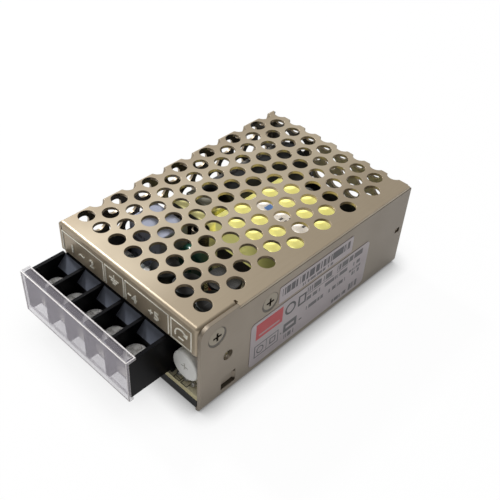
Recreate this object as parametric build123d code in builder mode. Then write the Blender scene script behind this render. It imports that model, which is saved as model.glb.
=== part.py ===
from build123d import *
import os
from math import cos, pi

os.makedirs("parts", exist_ok=True)

# Case, outside sizes in millimetres
case_width = 51.0
case_length = 78.0
case_height = 28.0
left = -case_width / 2
right = case_width / 2
front = -case_length / 2
back = case_length / 2
top = case_height

# Chassis: floor and right side panel folded from one sheet
chassis_sheet = 1.0
chassis_bend = 1.5
lip_height = 6.0
floor_setback = 0.6
panel_corner_radius = 2.8
panel_hole_from_front = 8.8
panel_hole_height = 14.1
bridge_from_front = 6.8
bridge_length = 4.8
bridge_depth = 0.6
bridge_height = 2.4
bridge_middle = 4.8
lance_slot = 0.9
snap_from_back = 2.6
snap_height = 13.6
snap_slot_width = 2.0
snap_slot_height = 1.5
snap_slack = 0.2
dimple_height = 0.7
ear_length = 3.2
ear_width = 7.0

# Cover: perforated top, left and back walls and the front plate, one folded sheet
cover_sheet = 0.8
cover_bend = 0.9
bend_line = 0.4
wall_bottom = 0.3
sheet_gap = 0.1
plate_above_block = 1.15
tab_length = 12.0
tab_drop = 11.0
bend_relief = 0.6
corner_slit = 0.3

# Perforation, laid out on the flat sheet before bending
hole_diameter = 4.4
hole_pitch = 6.0
hole_row_pitch = 5.15
first_hole_from_left = 3.1
first_hole_from_front = 6.2
hole_right_margin = 5.5
lowest_hole_height = 8.5

# Mounting holes
m3_radius = 1.5
bottom_hole_spacing = 55.0
collar_radius = 2.3
collar_height = 0.8

# Board, its bosses and the film beneath it
board_bottom = 3.3
board_thickness = 1.6
board_top = board_bottom + board_thickness
board_clearance = 0.2
boss_top_radius = 2.4
boss_foot_radius = 3.0
film_thickness = 0.3
film_hole_gap = 0.4
film_flap_gap = 0.2
board_screw_head_radius = 2.6
board_screw_head_height = 1.8
board_screw_inset = 4.0
board_screw_from_front = 11.5
board_screw_from_end = 3.7
board_screw_gap = 0.8

# Countersunk case screws
case_screw_head_radius = 2.75
case_screw_shank_radius = 1.5
case_screw_length = 4.6
case_screw_sunk = 0.05
countersink_gap = 0.1
cover_screw_from_front = 5.15
cover_screw_from_top = 5.1
device_screw_from_front = 22.5
device_screw_from_top = 6.2

# Cross recesses of the screws
cross_length = 2.6
cross_width = 0.6
cross_depth = 0.8

# Terminal block
poles = 5
block_from_knob = 1.15
barrier_thickness = 0.9
end_barrier_thickness = 1.0
block_from_left = 0.2
block_reach = 11.65
block_floor_reach = 9.0
block_bottom = 6.3
block_floor_top = 9.8
barrier_top = 18.3
hump_reach = 2.75
hump_low = 15.2
hump_high = 17.95
block_inside_length = 6.5
barrier_corner_radius = 0.6

# Terminal contacts, clamps and screws
contact_sheet = 0.8
contact_side_gap = 0.56
contact_gap = 0.05
contact_pin_width = 1.4
contact_pin_below_board = 0.7
clamp_side_gap = 0.36
clamp_length = 5.6
clamp_thickness = 0.9
clamp_gap = 0.05
terminal_screw_reach = 5.9
terminal_head_height = 2.2
terminal_shank_radius = 1.75
terminal_shank_length = 4.3
thread_gap = 0.05
screw_well_depth = 2.7
terminal_slot_length = 4.2
terminal_slot_width = 0.9
terminal_slot_depth = 1.1

# Clear cover over the front of the terminal block
clear_wall = 0.75
clear_gap = 0.05
clear_overhang = 0.2
clear_top_grip = 2.0
clear_bottom_grip = 0.6
clear_corner_radius = 0.5

# Output voltage trimmer
trimmer_from_right = 5.45
trimmer_height = 12.3
knob_radius = 4.1
knob_thickness = 2.2
knob_rim_radius = 0.5
knob_shaft_radius = 1.5
knob_shaft_length = 2.6
knob_setback = 0.1
knob_cross_length = 2.2
knob_cross_width = 0.5
trimmer_body_width = 7.0
trimmer_body_length = 5.0
trimmer_body_gap = 0.3
trimmer_bore_gap = 0.05

# Transformer
transformer_from_left = 20.75
transformer_from_right = 6.6
transformer_from_front = 32.85
transformer_from_back = 19.05
transformer_from_top = 4.0
tape_thickness = 0.4
tape_height = 8.7
tape_corner_radius = 1.6
tape_edge_radius = 1.0
core_gap = 0.2
core_above_board = 5.0
core_below_top = 3.0
core_back = 4.0
core_leg_share = 0.16
centre_leg_share = 0.32
bobbin_wall = 0.6
bobbin_gap = 0.1
bobbin_flange = 0.8
bobbin_foot_height = 2.7
coil_gap = 0.1
coil_build = 1.4
paper_width = 6.5
paper_thickness = 0.1

# Bulk capacitor, lying on its side
bulk_radius = 8.75
bulk_from_left = 11.4
bulk_from_front = 44.5
bulk_from_board_end = 0.4
bulk_lead_pitch = 7.5
lead_radius = 0.4
lying_gap = 0.2

# Output capacitors in a row behind the terminal block
output_row_from_left = 17.6
output_row_from_right = 8.7
output_row_gap = 0.4
output_capacitor_height = 12.7
output_capacitor_from_front = 15.5

# Mains filter: choke with two windings on a square core, and two box capacitors
choke_left = 4.4
choke_width = 13.0
choke_front = 32.7
choke_length = 3.9
choke_above_board = 0.6
choke_height = 13.3
choke_leg = 2.8
winding_thickness = 1.4
winding_gap = 0.1
band_thickness = 0.3
band_gap = 0.2
band_width = 3.0
filter_from_left = 4.0
filter_width = 12.0
filter_from_front = 38.5
filter_length = 4.3
filter_height = 14.2
emi_from_left = 2.5
emi_width = 12.8
emi_from_front = 19.4
emi_length = 9.7
emi_height = 15.0
box_rounding = 0.5

# Smaller parts on the board
fuse_radius = 1.8
fuse_glass = 0.4
fuse_length = 10.8
fuse_from_left = 3.6
fuse_from_front = 16.0
fuse_above_board = 3.5
fuse_cap_length = 2.5
fuse_cap_end = 0.5
fuse_lead_width = 1.2
thermistor_radius = 5.4
thermistor_thickness = 3.8
thermistor_rounding = 1.2
thermistor_from_left = 21.3
thermistor_from_front = 24.1
thermistor_above_board = 7.3
thermistor_lead_pitch = 5.0
output_choke_radius = 4.5
output_choke_height = 9.5
output_choke_flange = 1.2
output_choke_from_left = 32.6
output_choke_from_front = 25.8
bridge_rectifier_from_left = 21.0
bridge_rectifier_from_back = 16.6
bridge_rectifier_thickness = 3.5
bridge_rectifier_height = 10.5
bridge_rectifier_above_board = 2.0
bridge_rectifier_corner = 2.5
bridge_rectifier_gap = 3.5
chip_length = 9.5
chip_width = 6.4
chip_height = 3.3
chip_standoff = 0.5
chip_from_back = 7.0
chip_leg_pitch = 2.54
chip_leg_width = 0.6
chip_leg_thickness = 0.4
opto_length = 4.4
opto_from_right = 3.8
opto_from_back = 25.6
supply_capacitor_radius = 2.5
supply_capacitor_height = 11.0
supply_capacitor_from_left = 24.0
supply_capacitor_from_back = 10.6
can_rounding = 0.4
y_capacitor_radius = 4.0
y_capacitor_thickness = 2.4
y_capacitor_from_right = 3.8
y_capacitor_from_back = 15.6
y_capacitor_above_board = 5.9
y_capacitor_lead_pitch = 4.4
resistor_radius = 1.1
resistor_length = 5.0
resistor_lead_radius = 0.3
resistor_lead_span = 6.4
resistor_from_right = 7.1
resistor_pitch = 3.3
resistor_from_back = 14.3
resistor_lift = 0.3

# Output rectifier, screwed to the side panel through a pad
rectifier_tab_thickness = 1.3
rectifier_width = 10.0
rectifier_nut_gap = 0.8
rectifier_above_board = 3.8
rectifier_tab_from_top = 4.0
rectifier_lead_width = 0.8
rectifier_lead_thickness = 0.5
rectifier_body_thickness = 3.2
pad_thickness = 0.3
nut_width = 5.5
nut_height = 2.4

# Stickers on the side panel
sticker_thickness = 0.1
rating_from_front = 16.3
rating_length = 45.5
rating_bottom = 2.0
rating_corner = 1.3
serial_from_front = 25.6
serial_length = 28.0
serial_from_top = 3.6
label_gap = 1.55
serial_height = 5.45
serial_corner = 0.4

# Worked out from the sizes above
panel_inside = right - chassis_sheet
tab_outside = panel_inside - sheet_gap
plate_bottom = hump_high + plate_above_block
cover_screw_height = top - cover_screw_from_top
device_screw_height = top - device_screw_from_top
strip_left = tab_outside - cover_bend - 0.2
floor_left = left + cover_sheet + sheet_gap
floor_back = back - cover_sheet - sheet_gap
board_left = floor_left + chassis_sheet + board_clearance
board_right = panel_inside - board_clearance
board_front = front + board_clearance
board_back = floor_back - chassis_sheet - board_clearance
board_screw_places = (
    (board_left + board_screw_inset, front + board_screw_from_front),
    (
        left + bulk_from_left + bulk_radius + board_screw_head_radius + board_screw_gap,
        board_back - boss_foot_radius,
    ),
    (board_right - board_screw_inset, board_back - board_screw_from_end),
)
bottom_hole_places = (
    (0, -bottom_hole_spacing / 2),
    (0, bottom_hole_spacing / 2),
)

# Chassis
with BuildPart() as chassis:
    with BuildSketch(Plane.XZ.offset(-back)) as folded_profile:
        with BuildLine():
            Polyline(
                (floor_left, lip_height),
                (floor_left, 0),
                (right, 0),
                (right, top),
                (panel_inside, top),
                (panel_inside, chassis_sheet),
                (floor_left + chassis_sheet, chassis_sheet),
                (floor_left + chassis_sheet, lip_height),
                close=True,
            )
        make_face()
        outer_bends = folded_profile.vertices().group_by(Axis.Y)[0]
        fillet(outer_bends, radius=chassis_bend)
        inner_bends = folded_profile.vertices().filter_by_position(
            Axis.Y, chassis_sheet, chassis_sheet
        )
        fillet(inner_bends, radius=chassis_bend - chassis_sheet)
    extrude(amount=case_length)
    # The upturned lips stop short of the front and the back wall
    with BuildSketch(Plane.XY.offset(chassis_sheet)) as lip_ends:
        with Locations((floor_left + chassis_bend / 2, front + tab_length / 2)):
            Rectangle(chassis_bend + 0.2, tab_length)
        with Locations((floor_left + chassis_bend / 2, back - chassis_bend)):
            Rectangle(chassis_bend + 0.2, 2 * chassis_bend)
    extrude(amount=lip_height, mode=Mode.SUBTRACT)
    # The floor stands back at the front and inside the back wall of the cover
    with BuildSketch(Plane.XY.offset(-1)) as floor_ends:
        with Locations((right - chassis_bend, front)):
            Rectangle(case_width, 2 * floor_setback, align=(Align.MAX, Align.CENTER))
        with Locations((panel_inside, back)):
            Rectangle(case_width, 2 * (back - floor_back), align=(Align.MAX, Align.CENTER))
    extrude(amount=1 + chassis_bend, mode=Mode.SUBTRACT)
    # Rear lip behind the cover's back wall
    with BuildSketch(Plane.YZ.offset(floor_left + 2 * chassis_bend)) as rear_lip:
        with BuildLine():
            Polyline(
                (floor_back, chassis_sheet / 2),
                (floor_back, lip_height),
                (floor_back - chassis_sheet, lip_height),
                (floor_back - chassis_sheet, chassis_sheet / 2),
                close=True,
            )
        make_face()
    extrude(amount=panel_inside - floor_left - 4 * chassis_bend)
    # Behind the front stretch the cover's top sheet lies over the panel
    with BuildSketch(Plane.YZ.offset(panel_inside - 1)) as panel_step:
        with Locations((front + tab_length, top)):
            Rectangle(
                case_length,
                2 * (cover_sheet + sheet_gap),
                align=(Align.MIN, Align.CENTER),
            )
    extrude(amount=chassis_sheet + 2, mode=Mode.SUBTRACT)
    front_corner = chassis.edges().filter_by(Axis.X).group_by(Axis.Y)[0].sort_by(Axis.Z)[-1]
    fillet(front_corner, radius=panel_corner_radius)
    # Countersunk and tapped holes of the panel
    with BuildSketch(Plane.YZ.offset(panel_inside - 1)) as panel_holes:
        with Locations((front + panel_hole_from_front, panel_hole_height)):
            Circle(m3_radius)
        with Locations((back - snap_from_back, snap_height)):
            Rectangle(snap_slot_width, snap_slot_height)
        with Locations((front + bridge_from_front + bridge_length / 2, bridge_middle)):
            Rectangle(bridge_length, bridge_height + 2 * lance_slot)
    extrude(amount=chassis_sheet + 2, mode=Mode.SUBTRACT)
    with Locations(
        Plane.YZ.offset(right).location
        * Pos(front + cover_screw_from_front, cover_screw_height, 0),
        Plane.YZ.offset(right).location
        * Pos(front + device_screw_from_front, device_screw_height, 0),
    ):
        CounterSinkHole(
            radius=case_screw_shank_radius + countersink_gap,
            counter_sink_radius=case_screw_head_radius + countersink_gap,
            depth=2 * chassis_sheet,
            counter_sink_angle=90,
        )
    # Bridge between the two lance slots, pressed inwards to hold the board
    with BuildSketch(Plane.XY.offset(bridge_middle - bridge_height / 2)) as bridge:
        bridge_start = front + bridge_from_front
        bridge_end = bridge_start + bridge_length
        with BuildLine():
            Polyline(
                (right, bridge_start - 0.1),
                (right - bridge_depth, bridge_start + bridge_depth),
                (right - bridge_depth, bridge_end - bridge_depth),
                (right, bridge_end + 0.1),
                (panel_inside, bridge_end + 0.1),
                (panel_inside - bridge_depth, bridge_end - bridge_depth + 0.3),
                (panel_inside - bridge_depth, bridge_start + bridge_depth - 0.3),
                (panel_inside, bridge_start - 0.1),
                close=True,
            )
        make_face()
    extrude(amount=bridge_height)
    # Bosses that carry the board, pressed up from the floor
    for boss_x, boss_y in board_screw_places:
        with BuildSketch(Plane.XY.offset(chassis_sheet)) as boss_foot:
            with Locations((boss_x, boss_y)):
                Circle(boss_foot_radius)
        with BuildSketch(Plane.XY.offset(board_bottom)) as boss_head:
            with Locations((boss_x, boss_y)):
                Circle(boss_top_radius)
        loft()
    with BuildSketch(Plane.XY.offset(chassis_sheet)) as collars:
        with Locations(*bottom_hole_places):
            Circle(collar_radius)
    extrude(amount=collar_height)
    with BuildSketch(Plane.XY.offset(-1)) as floor_holes:
        with Locations(*bottom_hole_places, *board_screw_places):
            Circle(m3_radius)
    extrude(amount=1 + board_top, mode=Mode.SUBTRACT)
chassis.part.label = "chassis"
export_step(chassis.part, "parts/chassis.step")


# Cover
tab_countersink_radius = (
    case_screw_head_radius - (right - case_screw_sunk - tab_outside) + countersink_gap
)


def hole_rows(first, limit, pitch):
    """Places along one direction from first up to limit."""
    places = []
    place = first
    while place <= limit:
        places.append(place)
        place += pitch
    return places


# Flat sheet: the wall begins where the bend, measured along its middle, ends
bend_run = (cover_bend - bend_line) * pi / 2
wall_start = bend_run - cover_bend
wall_run = case_height - cover_bend - lowest_hole_height
flat_left = -(wall_start + wall_run)
flat_back = case_length + wall_start + wall_run
flat_centres = []
for row, flat_y in enumerate(hole_rows(first_hole_from_front, flat_back, hole_row_pitch)):
    shift = hole_pitch / 2 if row % 2 else 0
    first_x = first_hole_from_left + shift
    while first_x - hole_pitch > flat_left:
        first_x -= hole_pitch
    for flat_x in hole_rows(first_x, case_width - hole_right_margin, hole_pitch):
        flat_centres.append((flat_x, flat_y))
hole_radius = hole_diameter / 2
top_centres = [
    (left + x, front + y)
    for x, y in flat_centres
    if x > cover_bend - hole_radius and y < case_length - cover_bend + hole_radius
]
left_centres = [
    (front + y, top - cover_bend + wall_start + x)
    for x, y in flat_centres
    if x < hole_radius - wall_start and y < case_length - hole_radius
]
back_centres = [
    (left + x, top - cover_bend + wall_start - (y - case_length))
    for x, y in flat_centres
    if y > case_length + wall_start - hole_radius and x > hole_radius - 0.5
]

with BuildPart() as cover:
    with BuildSketch(Plane.XY.offset(wall_bottom)) as plan:
        with Locations(((left + tab_outside) / 2, 0)):
            Rectangle(tab_outside - left, case_length)
    extrude(amount=top - wall_bottom)
    roof_edges = cover.faces().sort_by(Axis.Z)[-1].edges()
    front_right_edge = cover.edges().filter_by(Axis.Z).group_by(Axis.Y)[0].sort_by(Axis.X)[-1]
    fillet([*roof_edges, front_right_edge], radius=cover_bend)
    offset(amount=-cover_sheet, openings=cover.faces().sort_by(Axis.Z)[0])
    # Front opening below the front plate, and the short tab inside the side panel
    with BuildSketch(Plane.XZ.offset(-front + 1)) as front_opening:
        with Locations((0, wall_bottom - 1)):
            Rectangle(
                case_width + 2,
                plate_bottom - wall_bottom + 1,
                align=(Align.CENTER, Align.MIN),
            )
    extrude(amount=-(1 + cover_sheet), mode=Mode.SUBTRACT)
    with BuildSketch(Plane.YZ.offset(strip_left)) as tab_outline:
        with Locations((front - 1, wall_bottom - 1)):
            Rectangle(
                tab_length + 2,
                top - tab_drop - wall_bottom + 1,
                align=(Align.MIN, Align.MIN),
            )
    extrude(amount=case_width, mode=Mode.SUBTRACT)
    with BuildSketch(Plane.YZ.offset(strip_left)) as behind_tab:
        with Locations((front + tab_length, wall_bottom - 1)):
            Rectangle(case_length, case_height + 2, align=(Align.MIN, Align.MIN))
    extrude(amount=case_width, mode=Mode.SUBTRACT)
    # Top and back wall run on flat to the right behind the tab
    with BuildSketch(Plane.YZ.offset(strip_left)) as folded_strip:
        with BuildLine():
            Polyline(
                (front + tab_length + bend_relief, top),
                (back, top),
                (back, wall_bottom),
                (back - cover_sheet, wall_bottom),
                (back - cover_sheet, top - cover_sheet),
                (front + tab_length + bend_relief, top - cover_sheet),
                close=True,
            )
        make_face()
        corners = folded_strip.vertices().sort_by(Axis.X).group_by(Axis.Y)
        fillet(corners[-1].sort_by(Axis.X)[-1], radius=cover_bend)
        inner = folded_strip.vertices().filter_by_position(
            Axis.Y, top - cover_sheet, top - cover_sheet
        )
        fillet(inner.sort_by(Axis.X)[-1], radius=cover_bend - cover_sheet)
    extrude(amount=tab_outside - strip_left)
    with BuildSketch(Plane.XY.offset(top - cover_sheet)) as top_ledge:
        with Locations((tab_outside - 0.1, front + tab_length + sheet_gap)):
            Rectangle(
                right - tab_outside + 0.05,
                case_length - tab_length - sheet_gap - cover_bend,
                align=(Align.MIN, Align.MIN),
            )
    extrude(amount=cover_sheet)
    # Ear behind the side panel, with the dimple that snaps into its slot
    with BuildSketch(Plane.YZ.offset(tab_outside - cover_sheet)) as snap_ear:
        with Locations((back - cover_sheet, snap_height)):
            Rectangle(ear_length, ear_width, align=(Align.MAX, Align.CENTER))
    extrude(amount=cover_sheet)
    with BuildSketch(Plane.YZ.offset(tab_outside)) as snap_dimple:
        with Locations((back - snap_from_back, snap_height)):
            Rectangle(
                snap_slot_width - 2 * snap_slack,
                snap_slot_height - 2 * snap_slack,
            )
    extrude(amount=dimple_height)
    # Slits that let the corners fold
    with BuildSketch(Plane.XZ.offset(-front + 1)) as corner_slits:
        with Locations((left + cover_sheet, wall_bottom - 1)):
            Rectangle(
                corner_slit,
                top - cover_bend - wall_bottom + 1,
                align=(Align.MIN, Align.MIN),
            )
    extrude(amount=-(case_length + 2), mode=Mode.SUBTRACT)
    # Perforation through the top, left and back walls
    cut_depth = 1 + cover_bend + 0.2
    with BuildSketch(Plane.XY.offset(top + 1)) as top_holes:
        with Locations(*top_centres):
            Circle(hole_radius)
    extrude(amount=-cut_depth, mode=Mode.SUBTRACT)
    with BuildSketch(Plane.YZ.offset(left - 1)) as left_holes:
        with Locations(*left_centres):
            Circle(hole_radius)
    extrude(amount=cut_depth, mode=Mode.SUBTRACT)
    with BuildSketch(Plane.XZ.offset(-back - 1)) as back_holes:
        with Locations(*back_centres):
            Circle(hole_radius)
    extrude(amount=cut_depth, mode=Mode.SUBTRACT)
    # Tapped collar for the cover screw, drawn inwards from the tab
    collar_place = (front + cover_screw_from_front, cover_screw_height)
    with BuildSketch(Plane.YZ.offset(tab_outside - cover_sheet)) as cover_collar:
        with Locations(collar_place):
            Circle(collar_radius)
    extrude(amount=-collar_height)
    with Locations(Plane.YZ.offset(tab_outside).location * Pos(*collar_place, 0)):
        CounterSinkHole(
            radius=case_screw_shank_radius + thread_gap,
            counter_sink_radius=tab_countersink_radius,
            depth=2 * collar_radius,
            counter_sink_angle=90,
        )
cover.part.label = "cover"
export_step(cover.part, "parts/cover.step")

# Case screws, countersunk into the side panel
case_screw_places = (
    (front + cover_screw_from_front, cover_screw_height),
    (front + device_screw_from_front, device_screw_height),
)
case_screw_face = right - case_screw_sunk
with BuildPart() as case_screws:
    for place_y, place_z in case_screw_places:
        with BuildSketch(Plane.XY.offset(place_z)) as case_screw_profile:
            with BuildLine():
                Polyline(
                    (case_screw_face, place_y),
                    (case_screw_face, place_y + case_screw_head_radius),
                    (
                        case_screw_face - case_screw_head_radius + case_screw_shank_radius,
                        place_y + case_screw_shank_radius,
                    ),
                    (case_screw_face - case_screw_length, place_y + case_screw_shank_radius),
                    (case_screw_face - case_screw_length, place_y),
                    close=True,
                )
            make_face()
        revolve(axis=Axis((0, place_y, place_z), (1, 0, 0)))
    with BuildSketch(Plane.YZ.offset(case_screw_face)) as case_screw_crosses:
        with Locations(*case_screw_places):
            Rectangle(cross_length, cross_width)
            Rectangle(cross_width, cross_length)
    extrude(amount=-cross_depth, mode=Mode.SUBTRACT)
case_screws.part.label = "case_screws"
export_step(case_screws.part, "parts/case_screws.step")

# Insulation film between the floor and the board
film_left = floor_left + chassis_bend
film_right = panel_inside - chassis_bend + chassis_sheet
film_front = front + floor_setback - film_thickness
with BuildPart() as insulation_film:
    with BuildSketch(Plane.XY.offset(chassis_sheet)) as film_outline:
        with Locations((film_left, film_front)):
            Rectangle(
                film_right - film_left,
                board_back - film_front,
                align=(Align.MIN, Align.MIN),
            )
        with Locations(*board_screw_places):
            Circle(boss_foot_radius + film_hole_gap, mode=Mode.SUBTRACT)
        with Locations(*bottom_hole_places):
            Circle(collar_radius + film_hole_gap, mode=Mode.SUBTRACT)
    extrude(amount=film_thickness)
    # The front flap covers the edge of the floor and stands up to the board
    with BuildSketch(Plane.XY.offset(wall_bottom)) as film_flap:
        with Locations((film_left, film_front)):
            Rectangle(
                film_right - film_left,
                film_thickness,
                align=(Align.MIN, Align.MIN),
            )
    extrude(amount=board_bottom - film_flap_gap - wall_bottom)
insulation_film.part.label = "insulation_film"
export_step(insulation_film.part, "parts/insulation_film.step")

# Places along the terminal block
trimmer_x = right - trimmer_from_right
block_left = left + block_from_left
block_right = trimmer_x - knob_radius - block_from_knob
pole_pitch = (block_right - block_left - 2 * end_barrier_thickness) / poles
cell_width = pole_pitch - barrier_thickness
contact_width = cell_width - 2 * contact_side_gap
clamp_width = cell_width - 2 * clamp_side_gap
terminal_head_radius = clamp_width / 2
first_barrier = block_left + end_barrier_thickness
pole_places = [first_barrier + pole_pitch * (n + 0.5) for n in range(poles)]
screw_line = front - terminal_screw_reach
block_back = front + block_inside_length
contact_top = block_floor_top + contact_sheet
clamp_bottom = contact_top + clamp_gap
head_underside = clamp_bottom + clamp_thickness + clamp_gap
pin_line = block_back + contact_gap + contact_sheet / 2

# Circuit board
with BuildPart() as circuit_board:
    with BuildSketch(Plane.XY.offset(board_bottom)) as board_outline:
        with Locations((board_left, board_front)):
            Rectangle(
                board_right - board_left,
                board_back - board_front,
                align=(Align.MIN, Align.MIN),
            )
        with Locations((board_right, front + bridge_from_front + bridge_length / 2)):
            Rectangle(
                2 * bridge_depth,
                bridge_length + 2 * board_clearance,
                mode=Mode.SUBTRACT,
            )
        with Locations(*board_screw_places):
            Circle(m3_radius + board_clearance, mode=Mode.SUBTRACT)
        with Locations(*[(pole_x, pin_line) for pole_x in pole_places]):
            Circle(contact_pin_width / 2 + board_clearance, mode=Mode.SUBTRACT)
    extrude(amount=board_thickness)
circuit_board.part.label = "circuit_board"
export_step(circuit_board.part, "parts/circuit_board.step")

# Board screws, driven into the bosses of the floor
with BuildPart() as board_screws:
    with BuildSketch(Plane.XY.offset(board_top)) as board_screw_heads:
        with Locations(*board_screw_places):
            Circle(board_screw_head_radius)
    extrude(amount=board_screw_head_height)
    fillet(board_screws.edges().group_by(Axis.Z)[-1], radius=0.8)
    with BuildSketch(Plane.XY.offset(board_top + board_screw_head_height)) as board_crosses:
        with Locations(*board_screw_places):
            Rectangle(cross_length, cross_width)
            Rectangle(cross_width, cross_length)
    extrude(amount=-cross_depth, mode=Mode.SUBTRACT)
    with BuildSketch(Plane.XY.offset(board_top)) as board_screw_shanks:
        with Locations(*board_screw_places):
            Circle(m3_radius - thread_gap)
    extrude(amount=-(board_top - floor_setback))
board_screws.part.label = "board_screws"
export_step(board_screws.part, "parts/board_screws.step")

# Terminal block: a stepped body with an upright barrier beside every pole
with BuildPart() as terminal_block:
    with BuildSketch(Plane.YZ.offset(block_left)) as outer_step:
        with BuildLine():
            Polyline(
                (front - block_floor_reach, block_bottom),
                (front - block_floor_reach, block_floor_top),
                (front - hump_reach, block_floor_top),
                (front - hump_reach, hump_low),
                (front, hump_high),
                (front, block_bottom),
                close=True,
            )
        make_face()
    extrude(amount=block_right - block_left)
    with BuildSketch(Plane.YZ.offset(floor_left + board_clearance)) as inner_step:
        with BuildLine():
            Polyline(
                (front, block_bottom),
                (front, hump_high),
                (block_back, hump_high),
                (block_back, board_top),
                (front + cover_sheet + sheet_gap, board_top),
                (front + cover_sheet + sheet_gap, block_bottom),
                close=True,
            )
        make_face()
    extrude(amount=block_right - floor_left - board_clearance)
    for barrier in range(poles + 1):
        outermost = barrier in (0, poles)
        thickness = end_barrier_thickness if outermost else barrier_thickness
        barrier_left = first_barrier + pole_pitch * barrier - thickness / 2
        if barrier == 0:
            barrier_left = block_left
        if barrier == poles:
            barrier_left = block_right - thickness
        with BuildSketch(Plane.YZ.offset(barrier_left)) as barrier_outline:
            with Locations((front - block_reach, block_bottom)):
                Rectangle(
                    block_reach,
                    barrier_top - block_bottom,
                    align=(Align.MIN, Align.MIN),
                )
            front_corners = barrier_outline.vertices().group_by(Axis.X)[0]
            fillet(front_corners, radius=barrier_corner_radius)
        extrude(amount=thickness)
    # Wells beneath the screws and slots for the contacts
    with BuildSketch(Plane.XY.offset(block_floor_top)) as screw_wells:
        with Locations(*[(pole_x, screw_line) for pole_x in pole_places]):
            Circle(terminal_shank_radius + 0.4)
    extrude(amount=-screw_well_depth, mode=Mode.SUBTRACT)
    with BuildSketch(Plane.XY.offset(block_floor_top)) as contact_slots:
        with Locations(*[(pole_x, block_back) for pole_x in pole_places]):
            Rectangle(
                contact_width + 2 * contact_gap,
                block_inside_length + hump_reach,
                align=(Align.CENTER, Align.MAX),
            )
    extrude(amount=contact_sheet + contact_gap, mode=Mode.SUBTRACT)
terminal_block.part.label = "terminal_block"
export_step(terminal_block.part, "parts/terminal_block.step")

# One contact, clamp and screw for each pole
contact_front = front - block_floor_reach + 0.1
contact_back = block_back + contact_gap + contact_sheet
leg_bottom = board_top + 1.0
for number, pole_x in enumerate(pole_places, start=1):
    with BuildPart() as contact:
        with BuildSketch(Plane.YZ.offset(pole_x - contact_width / 2)) as contact_profile:
            with BuildLine():
                Polyline(
                    (contact_front, block_floor_top),
                    (contact_front, contact_top),
                    (contact_back, contact_top),
                    (contact_back, leg_bottom),
                    (contact_back - contact_sheet, leg_bottom),
                    (contact_back - contact_sheet, block_floor_top),
                    close=True,
                )
            make_face()
            outer_bend = contact_profile.vertices().group_by(Axis.X)[-1].sort_by(Axis.Y)[-1]
            fillet(outer_bend, radius=contact_sheet - 0.1)
        extrude(amount=contact_width)
        with BuildSketch(Plane.XY.offset(leg_bottom)) as pin_outline:
            with Locations((pole_x, pin_line)):
                Rectangle(contact_pin_width, contact_sheet)
        extrude(amount=-(leg_bottom - board_bottom + contact_pin_below_board))
        with BuildSketch(Plane.XY.offset(contact_top)) as contact_hole:
            with Locations((pole_x, screw_line)):
                Circle(terminal_shank_radius + thread_gap)
        extrude(amount=-contact_sheet, mode=Mode.SUBTRACT)
    contact.part.label = f"terminal_contact_{number}"
    export_step(contact.part, f"parts/terminal_contact_{number}.step")

    with BuildPart() as clamp:
        with BuildSketch(Plane.XY.offset(clamp_bottom)) as clamp_outline:
            with Locations((pole_x, screw_line)):
                RectangleRounded(clamp_width, clamp_length, barrier_corner_radius)
                Circle(terminal_shank_radius + 2 * thread_gap, mode=Mode.SUBTRACT)
        extrude(amount=clamp_thickness)
    clamp.part.label = f"terminal_clamp_{number}"
    export_step(clamp.part, f"parts/terminal_clamp_{number}.step")

    with BuildPart() as terminal_screw:
        with BuildSketch(Plane.XZ.offset(-screw_line)) as terminal_screw_profile:
            with BuildLine():
                Polyline(
                    (pole_x, head_underside - terminal_shank_length),
                    (pole_x + terminal_shank_radius, head_underside - terminal_shank_length),
                    (pole_x + terminal_shank_radius, head_underside),
                    (pole_x + terminal_head_radius, head_underside),
                    (pole_x + terminal_head_radius, head_underside + terminal_head_height),
                    (pole_x, head_underside + terminal_head_height),
                    close=True,
                )
            make_face()
            head_rim = terminal_screw_profile.vertices().group_by(Axis.X)[-1].sort_by(Axis.Y)[-1]
            fillet(head_rim, radius=terminal_head_height * 0.4)
        revolve(axis=Axis((pole_x, screw_line, 0), (0, 0, 1)))
        with BuildSketch(Plane.XY.offset(head_underside + terminal_head_height)) as screw_cross:
            with Locations((pole_x, screw_line)):
                Rectangle(terminal_slot_length, terminal_slot_width)
                Rectangle(terminal_slot_width, terminal_slot_length)
        extrude(amount=-terminal_slot_depth, mode=Mode.SUBTRACT)
    terminal_screw.part.label = f"terminal_screw_{number}"
    export_step(terminal_screw.part, f"parts/terminal_screw_{number}.step")

# Clear cover: a shallow channel gripping the front of the barriers
clear_left = block_left - clear_overhang
clear_right = block_right + clear_overhang
clear_inner_face = front - block_reach - clear_gap
clear_front = clear_inner_face - clear_wall
clear_top = barrier_top + clear_gap + clear_wall
clear_bottom = block_bottom - clear_gap - clear_wall
with BuildPart() as terminal_cover:
    with BuildSketch(Plane.YZ.offset(clear_left)) as clear_profile:
        with BuildLine():
            Polyline(
                (front - block_reach + clear_top_grip, clear_top),
                (clear_front, clear_top),
                (clear_front, clear_bottom),
                (front - block_reach + clear_bottom_grip, clear_bottom),
                (front - block_reach + clear_bottom_grip, clear_bottom + clear_wall),
                (clear_inner_face, clear_bottom + clear_wall),
                (clear_inner_face, clear_top - clear_wall),
                (front - block_reach + clear_top_grip, clear_top - clear_wall),
                close=True,
            )
        make_face()
        outer_corners = clear_profile.vertices().group_by(Axis.X)[0]
        fillet(outer_corners, radius=clear_corner_radius)
    extrude(amount=clear_right - clear_left)
terminal_cover.part.label = "terminal_cover"
export_step(terminal_cover.part, "parts/terminal_cover.step")

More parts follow.
